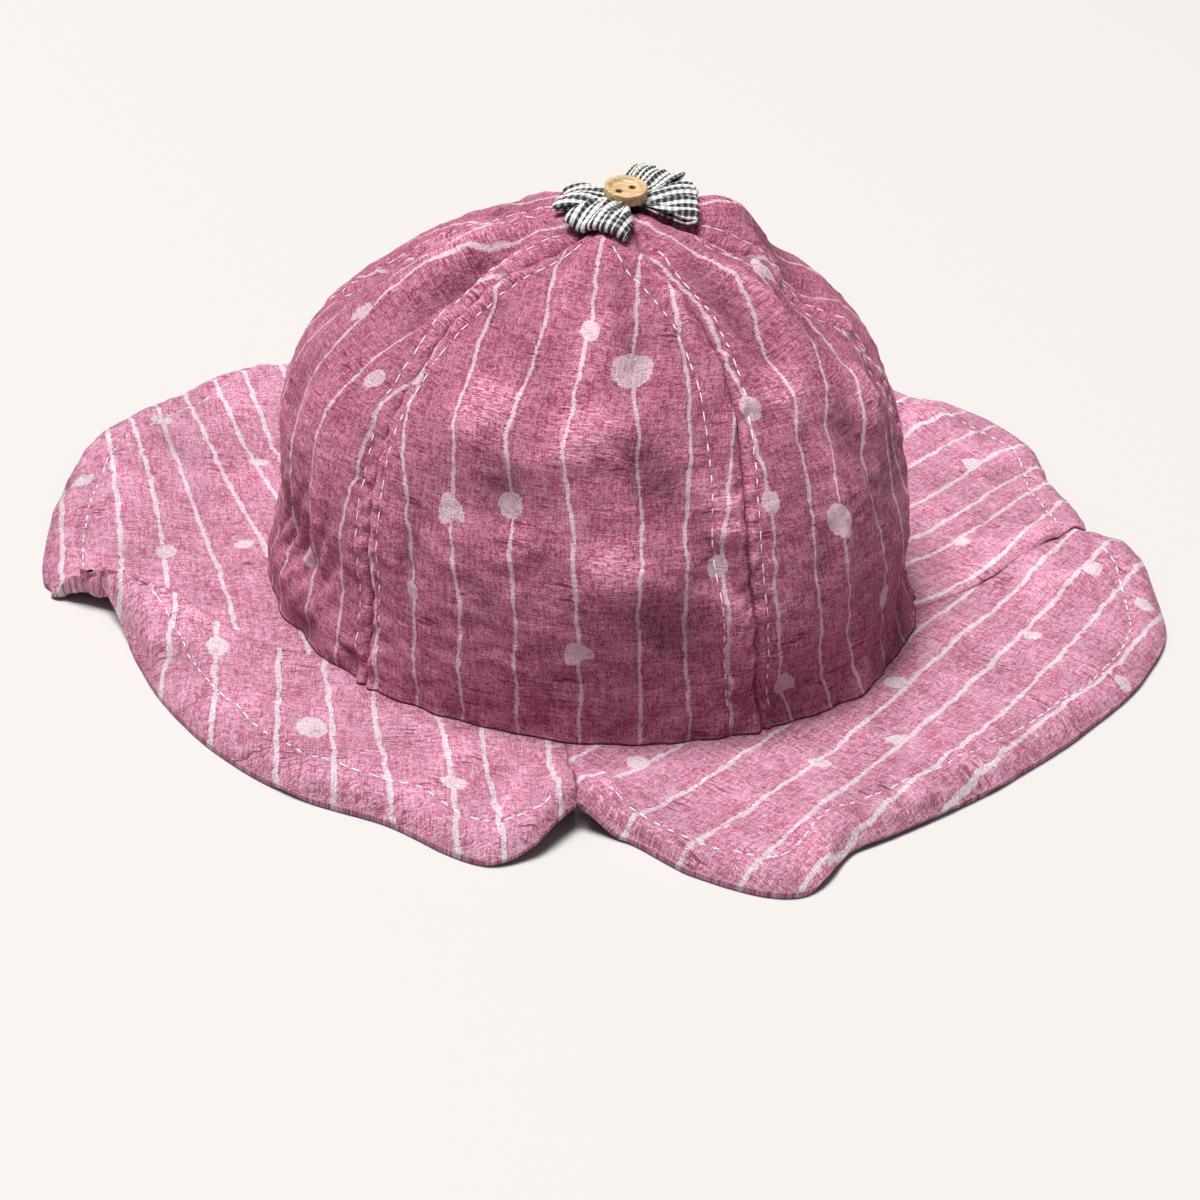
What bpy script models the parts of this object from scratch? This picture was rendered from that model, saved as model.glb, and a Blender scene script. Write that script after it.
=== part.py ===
"""Baby sun hat with a six-panel crown, a four-petal brim, a checked ribbon bow and a wooden button.

The hat rests on a level surface by itself. +Z is up, the camera side is -Y, lengths in the tables
are in millimetres or shares of the named sizes, angles are degrees from the front and positive
toward +X. All meshes are built in metres.
"""
import math

import bpy
import numpy as np

MM = 0.001

# Crown
CROWN_RADIUS = 78.5
CROWN_HEIGHT = 94.0
CROWN_WALL = 1.4
TIP_RUN = 0.035
SEAM_GROOVE = 1.6
SEAM_GROOVE_HALF = 6.0
PANEL_BELLY = 1.2
FOLD_DEPTH = 2.0
RELIEF_BEGINS = 0.12
RELIEF_ENDS = 0.93

# Brim
BRIM_REACH = 50.0
BRIM_WALL = 2.2
BRIM_WAVE = 10.0
SEAM_ALLOWANCE = 3.2
RISE_SHARE = 0.2
FLAT_FADE = 1.5
CREST_SHARE = 0.84
EDGE_FALL = 1.3
EDGE_ROUNDING = 0.45

# Fit between neighbouring pieces
GAP = 0.3

# Bow
RIBBON_HALF_WIDTH = 7.0
RIBBON_WALL = 0.7
LOOP_LENGTH = 16.0
LOOP_LIFT = 4.0
LOOP_START = 2.6
LAYER_SPACE = 0.9
LOOP_PUFF = 1.8
PUFF_AT = 0.66
PUFF_HALF = 0.42

# Button
BUTTON_RADIUS = 4.8
BUTTON_HEIGHT = 3.0
BUTTON_DISH = 0.6
BUTTON_RIM = 1.2
RIM_SLOPE = 0.5
RIM_INNER_SHARE = 0.96
SEAT_SHARE = 0.86
HOLE_RADIUS = 0.65
HOLE_SPACING = 3.8
HOLE_LINE_TURN = 24.0
HOLE_CUT_LENGTHS = 3.0
BUTTON_TILT = 7.0

# Outside of the button from its foot to its rim, as shares of BUTTON_RADIUS and BUTTON_HEIGHT
BUTTON_SIDE = ((0.72, 0.0), (0.93, 0.25), (1.0, 0.55), (0.97, 0.88), (0.88, 1.0))

# Crown sections from the apex to the brim seam. The run is the share of the way down, the height
# is a share of CROWN_HEIGHT and the four radii are shares of CROWN_RADIUS.
# Columns: run, height, left, right, front, back.
SECTIONS = np.array([
    [0.00, 1.000, 0.000, 0.000, 0.000, 0.000],
    [0.08, 0.980, 0.125, 0.125, 0.125, 0.110],
    [0.20, 0.925, 0.325, 0.320, 0.330, 0.295],
    [0.33, 0.840, 0.540, 0.520, 0.540, 0.500],
    [0.45, 0.730, 0.745, 0.690, 0.710, 0.680],
    [0.57, 0.595, 0.905, 0.810, 0.840, 0.830],
    [0.70, 0.430, 0.950, 0.885, 0.920, 0.940],
    [0.83, 0.250, 0.962, 0.930, 0.950, 0.970],
    [0.93, 0.100, 0.985, 0.935, 0.950, 0.980],
    [1.00, 0.000, 1.000, 1.000, 0.965, 1.000],
])

# Panel seams of the crown: the angle of each seam at four runs from the apex to the brim.
SEAM_RUNS = np.array([0.10, 0.30, 0.65, 1.00])
PANEL_SEAMS = np.array([
    [-38.0, -48.0, -43.0, -39.0],
    [16.0, 32.0, 27.5, 32.0],
    [76.0, 86.0, 88.0, 92.0],
    [136.0, 144.0, 147.0, 149.0],
    [196.0, 201.0, 204.0, 206.0],
    [258.0, 258.0, 261.0, 263.0],
])
PANEL_NAMES = ("crown_panel_front", "crown_panel_front_right", "crown_panel_back_right",
               "crown_panel_back", "crown_panel_back_left", "crown_panel_front_left")

# Folds and dents of the crown: angle, run, half-width in degrees, half-length in run, outward
# depth as a share of FOLD_DEPTH.
CROWN_FOLDS = np.array([
    [116, 0.21, 46, 0.15, 2.75],
    [92, 0.34, 28, 0.09, -1.75],
    [-20, 0.52, 22, 0.12, 0.80],
    [18, 0.60, 14, 0.09, -1.10],
    [8, 0.73, 20, 0.08, 0.90],
    [-62, 0.86, 34, 0.09, -1.30],
    [-75, 0.30, 11, 0.20, 0.90],
    [-62, 0.34, 9, 0.18, -0.90],
    [-96, 0.36, 10, 0.20, -0.90],
    [58, 0.33, 11, 0.20, 0.80],
    [46, 0.42, 9, 0.18, -0.70],
    [170, 0.55, 24, 0.16, 1.00],
    [190, 0.40, 13, 0.20, -0.90],
    [228, 0.62, 26, 0.16, 0.90],
])

# Seams between the brim petals: angle where the seam leaves the crown, angle at the outer notch.
PETAL_SEAMS = np.array([
    [-50.0, -75.0],
    [-2.0, 0.5],
    [87.0, 105.5],
    [186.0, 184.0],
    [310.0, 285.0],
])
PETAL_NAMES = ("brim_petal_front_left", "brim_petal_front_right", "brim_petal_back_right",
               "brim_petal_back_left")

# Brim edge: outer angle, reach past CROWN_RADIUS as a share of BRIM_REACH, and the heights of the
# crest just inside the edge and of the edge itself above the flat cloth, as shares of BRIM_WAVE.
EDGE = np.array([
    [-75, 0.86, 0.98, 0.68],
    [-71, 0.76, 0.68, 0.48],
    [-63, 0.72, 0.38, 0.00],
    [-52, 0.74, 0.28, 0.00],
    [-40, 0.77, 0.28, 0.00],
    [-30, 0.78, 0.38, 0.08],
    [-20, 0.74, 0.28, 0.00],
    [-8, 0.86, 0.28, 0.00],
    [-4, 0.76, 0.48, 0.28],
    [0.5, 0.52, 0.68, 0.63],
    [6, 0.61, 0.38, 0.03],
    [12, 0.84, 0.28, 0.00],
    [21, 1.04, 0.23, 0.00],
    [30, 0.83, 0.38, 0.08],
    [42, 0.80, 0.38, 0.08],
    [52, 0.82, 0.28, 0.00],
    [66, 0.92, 0.23, 0.00],
    [79, 1.09, 0.18, 0.00],
    [90, 1.21, 0.18, 0.08],
    [98, 1.21, 0.38, 0.28],
    [103, 1.15, 0.68, 0.58],
    [105.5, 0.99, 0.68, 0.68],
    [110, 1.05, 0.58, 0.48],
    [118, 1.12, 0.38, 0.28],
    [130, 1.37, 0.28, 0.18],
    [136, 1.35, 0.38, 0.33],
    [143, 1.16, 0.58, 0.48],
    [160, 1.24, 0.28, 0.08],
    [175, 1.16, 0.38, 0.18],
    [184, 0.96, 0.68, 0.58],
    [192, 1.16, 0.38, 0.18],
    [210, 1.22, 0.18, 0.00],
    [223, 0.95, 0.68, 0.68],
    [229, 1.08, 0.68, 0.58],
    [240, 1.12, 0.58, 0.48],
    [250, 1.16, 0.68, 0.48],
    [260, 1.12, 0.58, 0.38],
    [270, 1.08, 0.38, 0.18],
    [276, 1.06, 0.28, 0.00],
    [281, 1.04, 0.18, 0.00],
    [283, 0.98, 0.18, 0.00],
])

# Bow loops: heading, reach from the apex as a share of LOOP_LENGTH, puff as a share of LOOP_PUFF,
# half-width as a share of the way along, rise of the far end as a share of LOOP_LIFT.
LOOPS = np.array([
    [-101.0, 1.1000, 0.8, 0.62, 0.15],
    [-27.0, 1.0125, 0.7, 0.62, 0.00],
    [88.0, 1.0750, 1.0, 0.50, 0.40],
    [149.0, 1.0250, 1.1, 0.50, 1.15],
])
LOOP_NAMES = ("bow_loop_left", "bow_loop_front", "bow_loop_right", "bow_loop_back")

# Grid of each piece
PANEL_COLUMNS = 10
PANEL_ROWS = 18
PETAL_COLUMNS = 26
PETAL_ROWS = 6
LOOP_STEPS = 28
LOOP_COLUMNS = 4
APEX_RUNS = 60
BUTTON_SEGMENTS = 40
HOLE_SEGMENTS = 16
END_CROWDING = 0.65
TIP_CROWDING = 0.92
EDGE_CROWDING = 0.85
FOLD_SQUARENESS = 0.82

# Spots round a point of the plan where the cloth under a ribbon is measured
NEAR_REACH = 1.6
NEAR_SPOTS = ((0.0, 0.0), (NEAR_REACH, 0.0), (-NEAR_REACH, 0.0), (0.0, NEAR_REACH), (0.0, -NEAR_REACH))

# Step used when a surface direction is measured between two nearby points
CROWN_STEP_ANGLE = 1.0
BRIM_STEP_ANGLE = 3.0
BRIM_STEP_SHARE = 0.03
NORMAL_RUN = 0.01

# Upward part of the rough outward direction that tells a crown normal's sign
OUTWARD_RISE = 0.6

# Run down to which the crown is measured under the bow
APEX_END_RUN = 0.5

# Smallest radius that counts for a panel's width, and a distance beyond any seam
SMALLEST_RADIUS = 1.0
FAR_AWAY = 1e6


def smooth(low, high, value):
    t = np.clip((value - low) / (high - low), 0.0, 1.0)
    return t * t * (3.0 - 2.0 * t)


def bump(distance, half):
    d = np.clip(np.abs(distance) / half, 0.0, 1.0)
    return (1.0 - d * d) ** 2


def wrap(angle):
    return (angle + 180.0) % 360.0 - 180.0


def curve(xs, ys, x):
    """Smooth curve through the rows of a table that stays between neighbouring rows."""
    xs = np.asarray(xs, float)
    ys = np.asarray(ys, float)
    step = np.diff(xs)
    slope = np.diff(ys) / step
    tangent = np.empty(len(xs))
    tangent[0] = slope[0]
    tangent[-1] = slope[-1]
    same = slope[:-1] * slope[1:] > 0
    w1 = 2.0 * step[1:] + step[:-1]
    w2 = step[1:] + 2.0 * step[:-1]
    with np.errstate(divide="ignore", invalid="ignore"):
        mean = (w1 + w2) / (w1 / slope[:-1] + w2 / slope[1:])
    tangent[1:-1] = np.where(same, mean, 0.0)
    i = np.clip(np.searchsorted(xs, x, side="right") - 1, 0, len(xs) - 2)
    u = (x - xs[i]) / step[i]
    return (ys[i] * (1 + 2 * u) * (1 - u) ** 2 + tangent[i] * step[i] * u * (1 - u) ** 2
            + ys[i + 1] * u * u * (3 - 2 * u) + tangent[i + 1] * step[i] * u * u * (u - 1))


def around(rows, column, angle):
    """Value of a column of an angle table, read once around the circle."""
    start = wrap(rows[:, 0])
    order = np.argsort(start)
    start = start[order]
    values = rows[order, column]
    turns = np.concatenate([start - 360.0, start, start + 360.0])
    return curve(turns, np.tile(values, 3), wrap(angle))


def spread(count):
    """Shares from 0 to 1 that lie closer together toward both ends."""
    even = np.linspace(0.0, 1.0, count + 1)
    return (1.0 - END_CROWDING) * even + END_CROWDING * (0.5 - 0.5 * np.cos(np.pi * even))


def section(angle, run):
    """Radius and height share of the plain crown."""
    th = np.radians(angle)
    s = np.sin(th)
    c = np.cos(th)
    runs = SECTIONS[:, 0]
    height = curve(runs, SECTIONS[:, 1], run)
    left, right, front, back = (curve(runs, SECTIONS[:, k], run) for k in (2, 3, 4, 5))
    side = np.where(s > 0, right, left)
    depth = np.where(c > 0, front, back)
    radius = CROWN_RADIUS * side * depth / np.sqrt((s * depth) ** 2 + (c * side) ** 2 + 1e-12)
    return radius, height


def seam_angle(index, run):
    turn = 360.0 * (index // len(PANEL_SEAMS))
    rows = PANEL_SEAMS[index % len(PANEL_SEAMS)]
    return curve(SEAM_RUNS, rows, np.clip(run, SEAM_RUNS[0], 1.0)) + turn


def crown_base():
    return BRIM_WALL + GAP


def crown_relief(angle, run, radius):
    """Outward offset of the cloth: folds, panel bellies and the grooves along the seams."""
    out = np.zeros_like(radius)
    for at, at_run, half, half_run, depth in CROWN_FOLDS:
        out = out + FOLD_DEPTH * depth * bump(wrap(angle - at), half) * bump(run - at_run, half_run)
    nearest = np.full_like(radius, FAR_AWAY)
    for index in range(len(PANEL_SEAMS)):
        away = np.radians(np.abs(wrap(angle - seam_angle(index, run)))) * radius
        nearest = np.minimum(nearest, away)
    fade = smooth(0.0, RELIEF_BEGINS, run) * smooth(1.0, RELIEF_ENDS, run)
    half_panel = math.pi / len(PANEL_SEAMS) * np.maximum(radius, SMALLEST_RADIUS)
    belly = PANEL_BELLY * smooth(0.0, 1.0, nearest / half_panel)
    groove = SEAM_GROOVE * (1.0 - smooth(0.0, SEAM_GROOVE_HALF, nearest)) ** 2
    return out + fade * (belly - groove)


def crown_point(angle, run):
    """Outer face of the crown."""
    angle, run = np.broadcast_arrays(np.asarray(angle, float), np.asarray(run, float))
    radius, height = section(angle, run)
    th = np.radians(angle)
    after, height_after = section(angle, np.minimum(run + NORMAL_RUN, 1.0))
    before, height_before = section(angle, np.maximum(run - NORMAL_RUN, 0.0))
    dr = after - before
    dz = CROWN_HEIGHT * (height_after - height_before)
    size = np.hypot(dr, dz) + 1e-9
    out = crown_relief(angle, run, radius)
    radius = radius - out * dz / size
    z = crown_base() + CROWN_HEIGHT * height + out * dr / size
    return np.stack([radius * np.sin(th), -radius * np.cos(th), z], -1)


def facing(surface, a, b, step_a, step_b, low_b, high_b):
    """Unit normals of a surface of two parameters, measured across small steps."""
    along_a = surface(a + step_a, b) - surface(a - step_a, b)
    along_b = surface(a, np.minimum(b + step_b, high_b)) - surface(a, np.maximum(b - step_b, low_b))
    n = np.cross(along_a, along_b)
    return n / (np.linalg.norm(n, axis=-1, keepdims=True) + 1e-12)


def inner_angle(outer):
    """Angle at the crown that belongs to an outer angle of the brim."""
    first = PETAL_SEAMS[0, 1]
    turned = (outer - first) % 360.0 + first
    return np.interp(turned, PETAL_SEAMS[:, 1], PETAL_SEAMS[:, 0])


def brim_point(outer, share):
    """Upper face of the brim. The share runs from the crown seam (0) to the edge (1)."""
    outer, share = np.broadcast_arrays(np.asarray(outer, float), np.asarray(share, float))
    inner = inner_angle(outer)
    start, _ = section(inner, np.ones_like(inner))
    start = start - SEAM_ALLOWANCE * np.clip(-share, 0.0, 1.0)
    s = np.clip(share, 0.0, 1.0)
    reach = around(EDGE, 1, outer)
    crest = around(EDGE, 2, outer)
    edge = around(EDGE, 3, outer)
    ti = np.radians(inner)
    to = np.radians(outer)
    end = CROWN_RADIUS + BRIM_REACH * reach
    x = (1.0 - s) * start * np.sin(ti) + s * end * np.sin(to)
    y = -(1.0 - s) * start * np.cos(ti) - s * end * np.cos(to)
    wave = (crest * smooth(RISE_SHARE, CREST_SHARE, s)
            + (edge - crest) * smooth(CREST_SHARE, 1.0, s) ** EDGE_FALL)
    return np.stack([x, y, BRIM_WALL + BRIM_WAVE * wave], -1)


def brim_normal(outer, share):
    """Normals of the brim, exactly upright on the flat band next to the crown."""
    inside = np.maximum(share, NORMAL_RUN)
    n = facing(brim_point, outer, inside, BRIM_STEP_ANGLE, BRIM_STEP_SHARE, 0.0, 1.0)
    n = n * np.sign(n[..., 2:3])
    flat = np.zeros_like(n)
    flat[..., 2] = 1.0
    k = smooth(RISE_SHARE, FLAT_FADE * RISE_SHARE, share)[..., None]
    n = n * k + flat * (1.0 - k)
    return n / np.linalg.norm(n, axis=-1, keepdims=True)


def crown_normal(angle, run):
    n = facing(crown_point, angle, run, CROWN_STEP_ANGLE, NORMAL_RUN, TIP_RUN, 1.0)
    th = np.radians(angle)
    outward = np.stack([np.sin(th), -np.cos(th), np.full_like(th, OUTWARD_RISE)], -1)
    return n * np.sign((n * outward).sum(-1, keepdims=True))


def make_material(name, colour, roughness):
    material = bpy.data.materials.new(name)
    material.use_nodes = True
    shader = material.node_tree.nodes["Principled BSDF"]
    shader.inputs["Base Color"].default_value = (*colour, 1.0)
    shader.inputs["Roughness"].default_value = roughness
    material.diffuse_color = (*colour, 1.0)
    return material


def make_object(name, points, faces, material):
    mesh = bpy.data.meshes.new(name)
    mesh.from_pydata([tuple(p) for p in points], [], faces)
    mesh.validate()
    mesh.materials.append(material)
    obj = bpy.data.objects.new(name, mesh)
    bpy.context.scene.collection.objects.link(obj)
    bpy.context.view_layer.objects.active = obj
    obj.select_set(True)
    bpy.ops.object.mode_set(mode="EDIT")
    bpy.ops.mesh.select_all(action="SELECT")
    bpy.ops.mesh.normals_make_consistent(inside=False)
    bpy.ops.object.mode_set(mode="OBJECT")
    mesh.shade_smooth()
    obj.select_set(False)
    return obj


def coordinates(obj):
    values = np.empty(len(obj.data.vertices) * 3)
    obj.data.vertices.foreach_get("co", values)
    return values.reshape(-1, 3)


def closed_strip(loops):
    """Faces of a solid made of equal closed loops joined in order and capped at both ends."""
    count = len(loops)
    size = len(loops[0])
    points = np.concatenate(loops)
    faces = []
    for i in range(count - 1):
        for j in range(size):
            a = i * size + j
            b = i * size + (j + 1) % size
            faces.append((a, b, b + size, a + size))
    return points, faces, size, count


def shell(outer_face, inner_face, rim=None):
    """Closed solid between two grids of points. A rim row rounds the last row off."""
    rows, columns = outer_face.shape[:2]
    loops = []
    for j in range(columns):
        parts = [outer_face[:, j]]
        if rim is not None:
            parts.append(rim[j:j + 1])
        parts.append(inner_face[::-1, j])
        loops.append(np.concatenate(parts))
    points, faces, size, count = closed_strip(loops)
    extra = 0 if rim is None else 1
    for start in (0, (count - 1) * size):
        for i in range(rows - 1):
            last = start + size - 1
            faces.append((start + i, start + i + 1, last - i - 1, last - i))
        if extra:
            faces.append((start + rows - 1, start + rows, start + rows + 1))
    return points, faces


def build_panel(index, material):
    runs = TIP_RUN + (1.0 - TIP_RUN) * np.linspace(0.0, 1.0, PANEL_ROWS + 1) ** TIP_CROWDING
    shares = spread(PANEL_COLUMNS)
    run = np.repeat(runs[:, None], len(shares), 1)
    left = seam_angle(index, run)
    right = seam_angle(index + 1, run)
    radius, _ = section(left, run)
    left = left + np.degrees(0.5 * GAP / radius)
    radius, _ = section(right, run)
    right = right - np.degrees(0.5 * GAP / radius)
    angle = left + (right - left) * shares[None, :]
    outer_face = crown_point(angle, run)
    inner_face = outer_face - CROWN_WALL * crown_normal(angle, run)
    inner_face[-1, :, 2] = crown_base()
    points, faces = shell(outer_face, inner_face)
    return make_object(PANEL_NAMES[index], points * MM, faces, material)


def keep_clear(under, above, seam, inside):
    """Hold the under side of a petal on its own side of the upright plane through a seam."""
    start = brim_point(seam, 0.0)[:2]
    line = brim_point(seam, 1.0)[:2] - start
    across = np.array([-line[1], line[0]]) / np.hypot(*line)
    across = across * np.sign((brim_point(inside, 0.5)[:2] - start) @ across)
    wanted = 0.5 * ((above[..., :2] - start) @ across + 0.5 * GAP)
    short = np.maximum(wanted - (under[..., :2] - start) @ across, 0.0)
    short = short * ((above[..., :2] - start) @ across > 0.0)
    short = short * ((above[..., :2] - start) @ line > 0.0)
    under[..., :2] += short[..., None] * across


def build_petal(index, material):
    low, high = PETAL_SEAMS[index, 1], PETAL_SEAMS[index + 1, 1]
    rising = RISE_SHARE + (1.0 - RISE_SHARE) * np.linspace(0.0, 1.0, PETAL_ROWS) ** EDGE_CROWDING
    shares = np.concatenate([[-1.0, 0.0], rising])
    columns = spread(PETAL_COLUMNS)
    share = np.repeat(shares[:, None], len(columns), 1)
    ends = []
    for seam, side in ((low, 1.0), (high, -1.0)):
        flow = brim_point(seam, 1.0) - brim_point(seam, 0.0)
        spot = brim_point(seam, shares)
        radius = np.hypot(spot[:, 0], spot[:, 1])
        across = np.abs(np.cross(flow[:2] / np.hypot(*flow[:2]),
                                 np.stack([-spot[:, 1], spot[:, 0]], -1) / radius[:, None]))
        ends.append(seam + side * np.degrees(0.5 * GAP / (radius * across)))
    outer = ends[0][:, None] + (ends[1] - ends[0])[:, None] * columns[None, :]
    top = brim_point(outer, share)
    normal = brim_normal(outer, share)
    inward = top[-2] - top[-1]
    inward = inward / np.linalg.norm(inward, axis=-1, keepdims=True)
    rim = top[-1] - 0.5 * BRIM_WALL * normal[-1]
    top[-1] = top[-1] + EDGE_ROUNDING * BRIM_WALL * inward
    bottom = top - BRIM_WALL * normal
    for seam in (low, high):
        keep_clear(bottom, top, seam, 0.5 * (low + high))
        keep_clear(rim[None], top[-1:], seam, 0.5 * (low + high))
    bottom[..., 2] = np.maximum(bottom[..., 2], 0.0)
    bottom[shares <= RISE_SHARE, :, 2] = 0.0
    points, faces = shell(top, bottom, rim)
    return make_object(PETAL_NAMES[index], points * MM, faces, material)


def crown_height_at(x, y):
    """Height of the crown's outer face above a spot of the plan, near the apex."""
    angle = np.degrees(np.arctan2(x, -y))
    radius = np.hypot(x, y)
    runs = np.linspace(TIP_RUN, APEX_END_RUN, APEX_RUNS)
    field = crown_point(angle[..., None], runs)
    radii = np.hypot(field[..., 0], field[..., 1])
    flat_r = radii.reshape(-1, len(runs))
    flat_z = field[..., 2].reshape(-1, len(runs))
    out = [np.interp(r, rs, zs) for r, rs, zs in zip(radius.ravel(), flat_r, flat_z)]
    return np.array(out).reshape(radius.shape)


def cloth_top_near(x, y):
    """Highest cloth within a short way of each spot, so a ribbon rides over grooves and folds."""
    spots = [crown_height_at(x + dx, y + dy) for dx, dy in NEAR_SPOTS]
    return np.max(spots, axis=0)


def build_loop(index, material):
    """A short loop of ribbon, folded back on itself and fanned out from the middle of the bow."""
    heading = math.radians(LOOPS[index, 0])
    ahead = np.array([math.sin(heading), -math.cos(heading)])
    side = np.array([-ahead[1], ahead[0]])
    lane = np.linspace(-1.0, 1.0, LOOP_COLUMNS + 1)
    reach = LOOP_LENGTH * LOOPS[index, 1]
    lift_off = LOOP_LIFT * LOOPS[index, 4]
    loops = []
    for phase in np.linspace(0.0, 2.0 * math.pi, LOOP_STEPS, endpoint=False):
        out = math.copysign(abs(math.cos(phase)) ** FOLD_SQUARENESS, math.cos(phase))
        upper = math.copysign(abs(math.sin(phase)) ** FOLD_SQUARENESS, math.sin(phase))
        level = math.sqrt(max(0.0, 1.0 - upper * upper))
        along = LOOP_START + 0.5 * (reach - LOOP_START) * (1.0 + out)
        far = along / reach
        half = min(LOOPS[index, 3] * along, RIBBON_HALF_WIDTH)
        centre = along * ahead + (lane * half)[:, None] * side
        rise = LAYER_SPACE + LOOP_PUFF * LOOPS[index, 2] * bump(far - PUFF_AT, PUFF_HALF)
        floor = cloth_top_near(centre[:, 0], centre[:, 1]) + GAP + lift_off * far ** 2
        height = floor + 0.5 * RIBBON_WALL + 0.5 * rise * (1.0 + upper)
        push = 0.5 * RIBBON_WALL * level * math.copysign(1.0, out) * ahead
        lift = 0.5 * RIBBON_WALL * upper
        top = np.column_stack([centre + push, height + lift])
        low = np.column_stack([centre - push, height - lift])
        loops.append(np.concatenate([top, low[::-1]]))
    points, faces, size, count = closed_strip(loops)
    for j in range(size):
        a = (count - 1) * size + j
        b = (count - 1) * size + (j + 1) % size
        faces.append((a, b, (j + 1) % size, j))
    return make_object(LOOP_NAMES[index], points * MM, faces, material)


def build_button(material, level):
    """Round button turned from wood, with a raised rim and two thread holes."""
    r, h = BUTTON_RADIUS, BUTTON_HEIGHT
    profile = [(0.0, 0.0)] + [(out * r, up * h) for out, up in BUTTON_SIDE]
    profile += [(r - BUTTON_RIM, RIM_INNER_SHARE * h),
                (r - BUTTON_RIM - RIM_SLOPE, h - BUTTON_DISH),
                (0.0, h - BUTTON_DISH)]
    turns = np.linspace(0.0, 2.0 * math.pi, BUTTON_SEGMENTS, endpoint=False)
    points = [(0.0, 0.0, profile[0][1])]
    for radius, z in profile[1:-1]:
        points += [(radius * math.cos(a), radius * math.sin(a), z) for a in turns]
    points.append((0.0, 0.0, profile[-1][1]))
    rings = len(profile) - 2
    n = BUTTON_SEGMENTS
    faces = [(0, 1 + (j + 1) % n, 1 + j) for j in range(n)]
    for i in range(rings - 1):
        for j in range(n):
            a = 1 + i * n + j
            b = 1 + i * n + (j + 1) % n
            faces.append((a, b, b + n, a + n))
    last = 1 + (rings - 1) * n
    faces += [(last + j, last + (j + 1) % n, len(points) - 1) for j in range(n)]
    button = make_object("button", np.array(points) * MM, faces, material)
    line = math.radians(HOLE_LINE_TURN)
    for side in (-0.5, 0.5):
        bpy.ops.mesh.primitive_cylinder_add(vertices=HOLE_SEGMENTS, radius=HOLE_RADIUS * MM,
                                            depth=HOLE_CUT_LENGTHS * h * MM,
                                            location=(0.0, 0.0, 0.5 * h * MM))
        cutter = bpy.context.active_object
        cutter.location.x = side * HOLE_SPACING * math.cos(line) * MM
        cutter.location.y = side * HOLE_SPACING * math.sin(line) * MM
        cut = button.modifiers.new("hole", "BOOLEAN")
        cut.operation = "DIFFERENCE"
        cut.solver = "EXACT"
        cut.object = cutter
        bpy.context.view_layer.objects.active = button
        bpy.ops.object.modifier_apply(modifier=cut.name)
        bpy.data.objects.remove(cutter, do_unlink=True)
    tilt = math.radians(BUTTON_TILT)
    spots = coordinates(button)
    y = spots[:, 1] * math.cos(tilt) - spots[:, 2] * math.sin(tilt)
    z = spots[:, 1] * math.sin(tilt) + spots[:, 2] * math.cos(tilt)
    moved = np.column_stack([spots[:, 0], y, z + level * MM])
    button.data.vertices.foreach_set("co", moved.ravel())
    button.data.update()
    return button


for old in list(bpy.data.objects):
    bpy.data.objects.remove(old, do_unlink=True)

cloth = make_material("mauve_pink_cotton", (0.62, 0.24, 0.42), 0.9)
brim_cloth = make_material("pink_cotton_brim", (0.68, 0.27, 0.46), 0.9)
check = make_material("black_white_check_ribbon", (0.32, 0.32, 0.32), 0.8)
wood = make_material("pale_wood", (0.72, 0.55, 0.36), 0.55)

pieces = [build_panel(k, cloth) for k in range(len(PANEL_NAMES))]
pieces += [build_petal(k, brim_cloth) for k in range(len(PETAL_NAMES))]
loops = [build_loop(k, check) for k in range(len(LOOP_NAMES))]

# The tilted button rests on the loops below it, so its height follows from theirs.
under = np.concatenate([coordinates(obj) for obj in loops]) / MM
under = under[np.hypot(under[:, 0], under[:, 1]) < SEAT_SHARE * BUTTON_RADIUS]
seat = (under[:, 2] - under[:, 1] * math.tan(math.radians(BUTTON_TILT))).max()
pieces += loops + [build_button(wood, seat + GAP)]

# The origin lies on the floor below the middle of the whole hat.
corners = np.concatenate([coordinates(obj) for obj in pieces])
middle = 0.5 * (corners.min(0) + corners.max(0))
for obj in pieces:
    moved = coordinates(obj) - [middle[0], middle[1], corners[:, 2].min()]
    obj.data.vertices.foreach_set("co", moved.ravel())
    obj.data.update()
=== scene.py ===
# %% [markdown]
# A baby sun hat in pink slubby cotton: six crown panels, four brim petals, a bow of four short
# checked ribbon loops and a wooden button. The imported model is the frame. It gives each piece its
# place, and every piece made here takes the place of one of its nodes.

# %% Load the frame
import math
import bmesh
import bpy
import numpy as np
from mathutils import Matrix, Vector, noise


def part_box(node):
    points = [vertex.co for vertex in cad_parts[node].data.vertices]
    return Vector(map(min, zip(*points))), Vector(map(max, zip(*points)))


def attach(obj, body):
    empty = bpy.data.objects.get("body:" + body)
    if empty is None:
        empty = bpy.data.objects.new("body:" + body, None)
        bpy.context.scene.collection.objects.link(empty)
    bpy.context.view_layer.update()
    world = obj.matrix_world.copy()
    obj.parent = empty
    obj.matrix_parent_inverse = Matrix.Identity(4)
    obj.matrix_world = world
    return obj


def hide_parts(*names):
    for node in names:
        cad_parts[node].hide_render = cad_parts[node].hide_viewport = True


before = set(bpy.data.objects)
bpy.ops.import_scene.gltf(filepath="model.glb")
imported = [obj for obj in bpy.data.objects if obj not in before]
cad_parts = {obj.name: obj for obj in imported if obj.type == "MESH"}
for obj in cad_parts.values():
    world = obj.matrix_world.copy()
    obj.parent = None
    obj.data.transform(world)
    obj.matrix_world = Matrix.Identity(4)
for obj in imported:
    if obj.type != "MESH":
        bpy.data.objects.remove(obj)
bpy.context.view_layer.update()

# %% [markdown]
# The cloth follows two plain surfaces, one for the crown and one for the brim. They could be
# sculpted by hand, but a hat is cut from a pattern, so short tables of named sizes describe it
# better. Lengths are in millimetres, angles in degrees from the front, positive toward +X.

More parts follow.
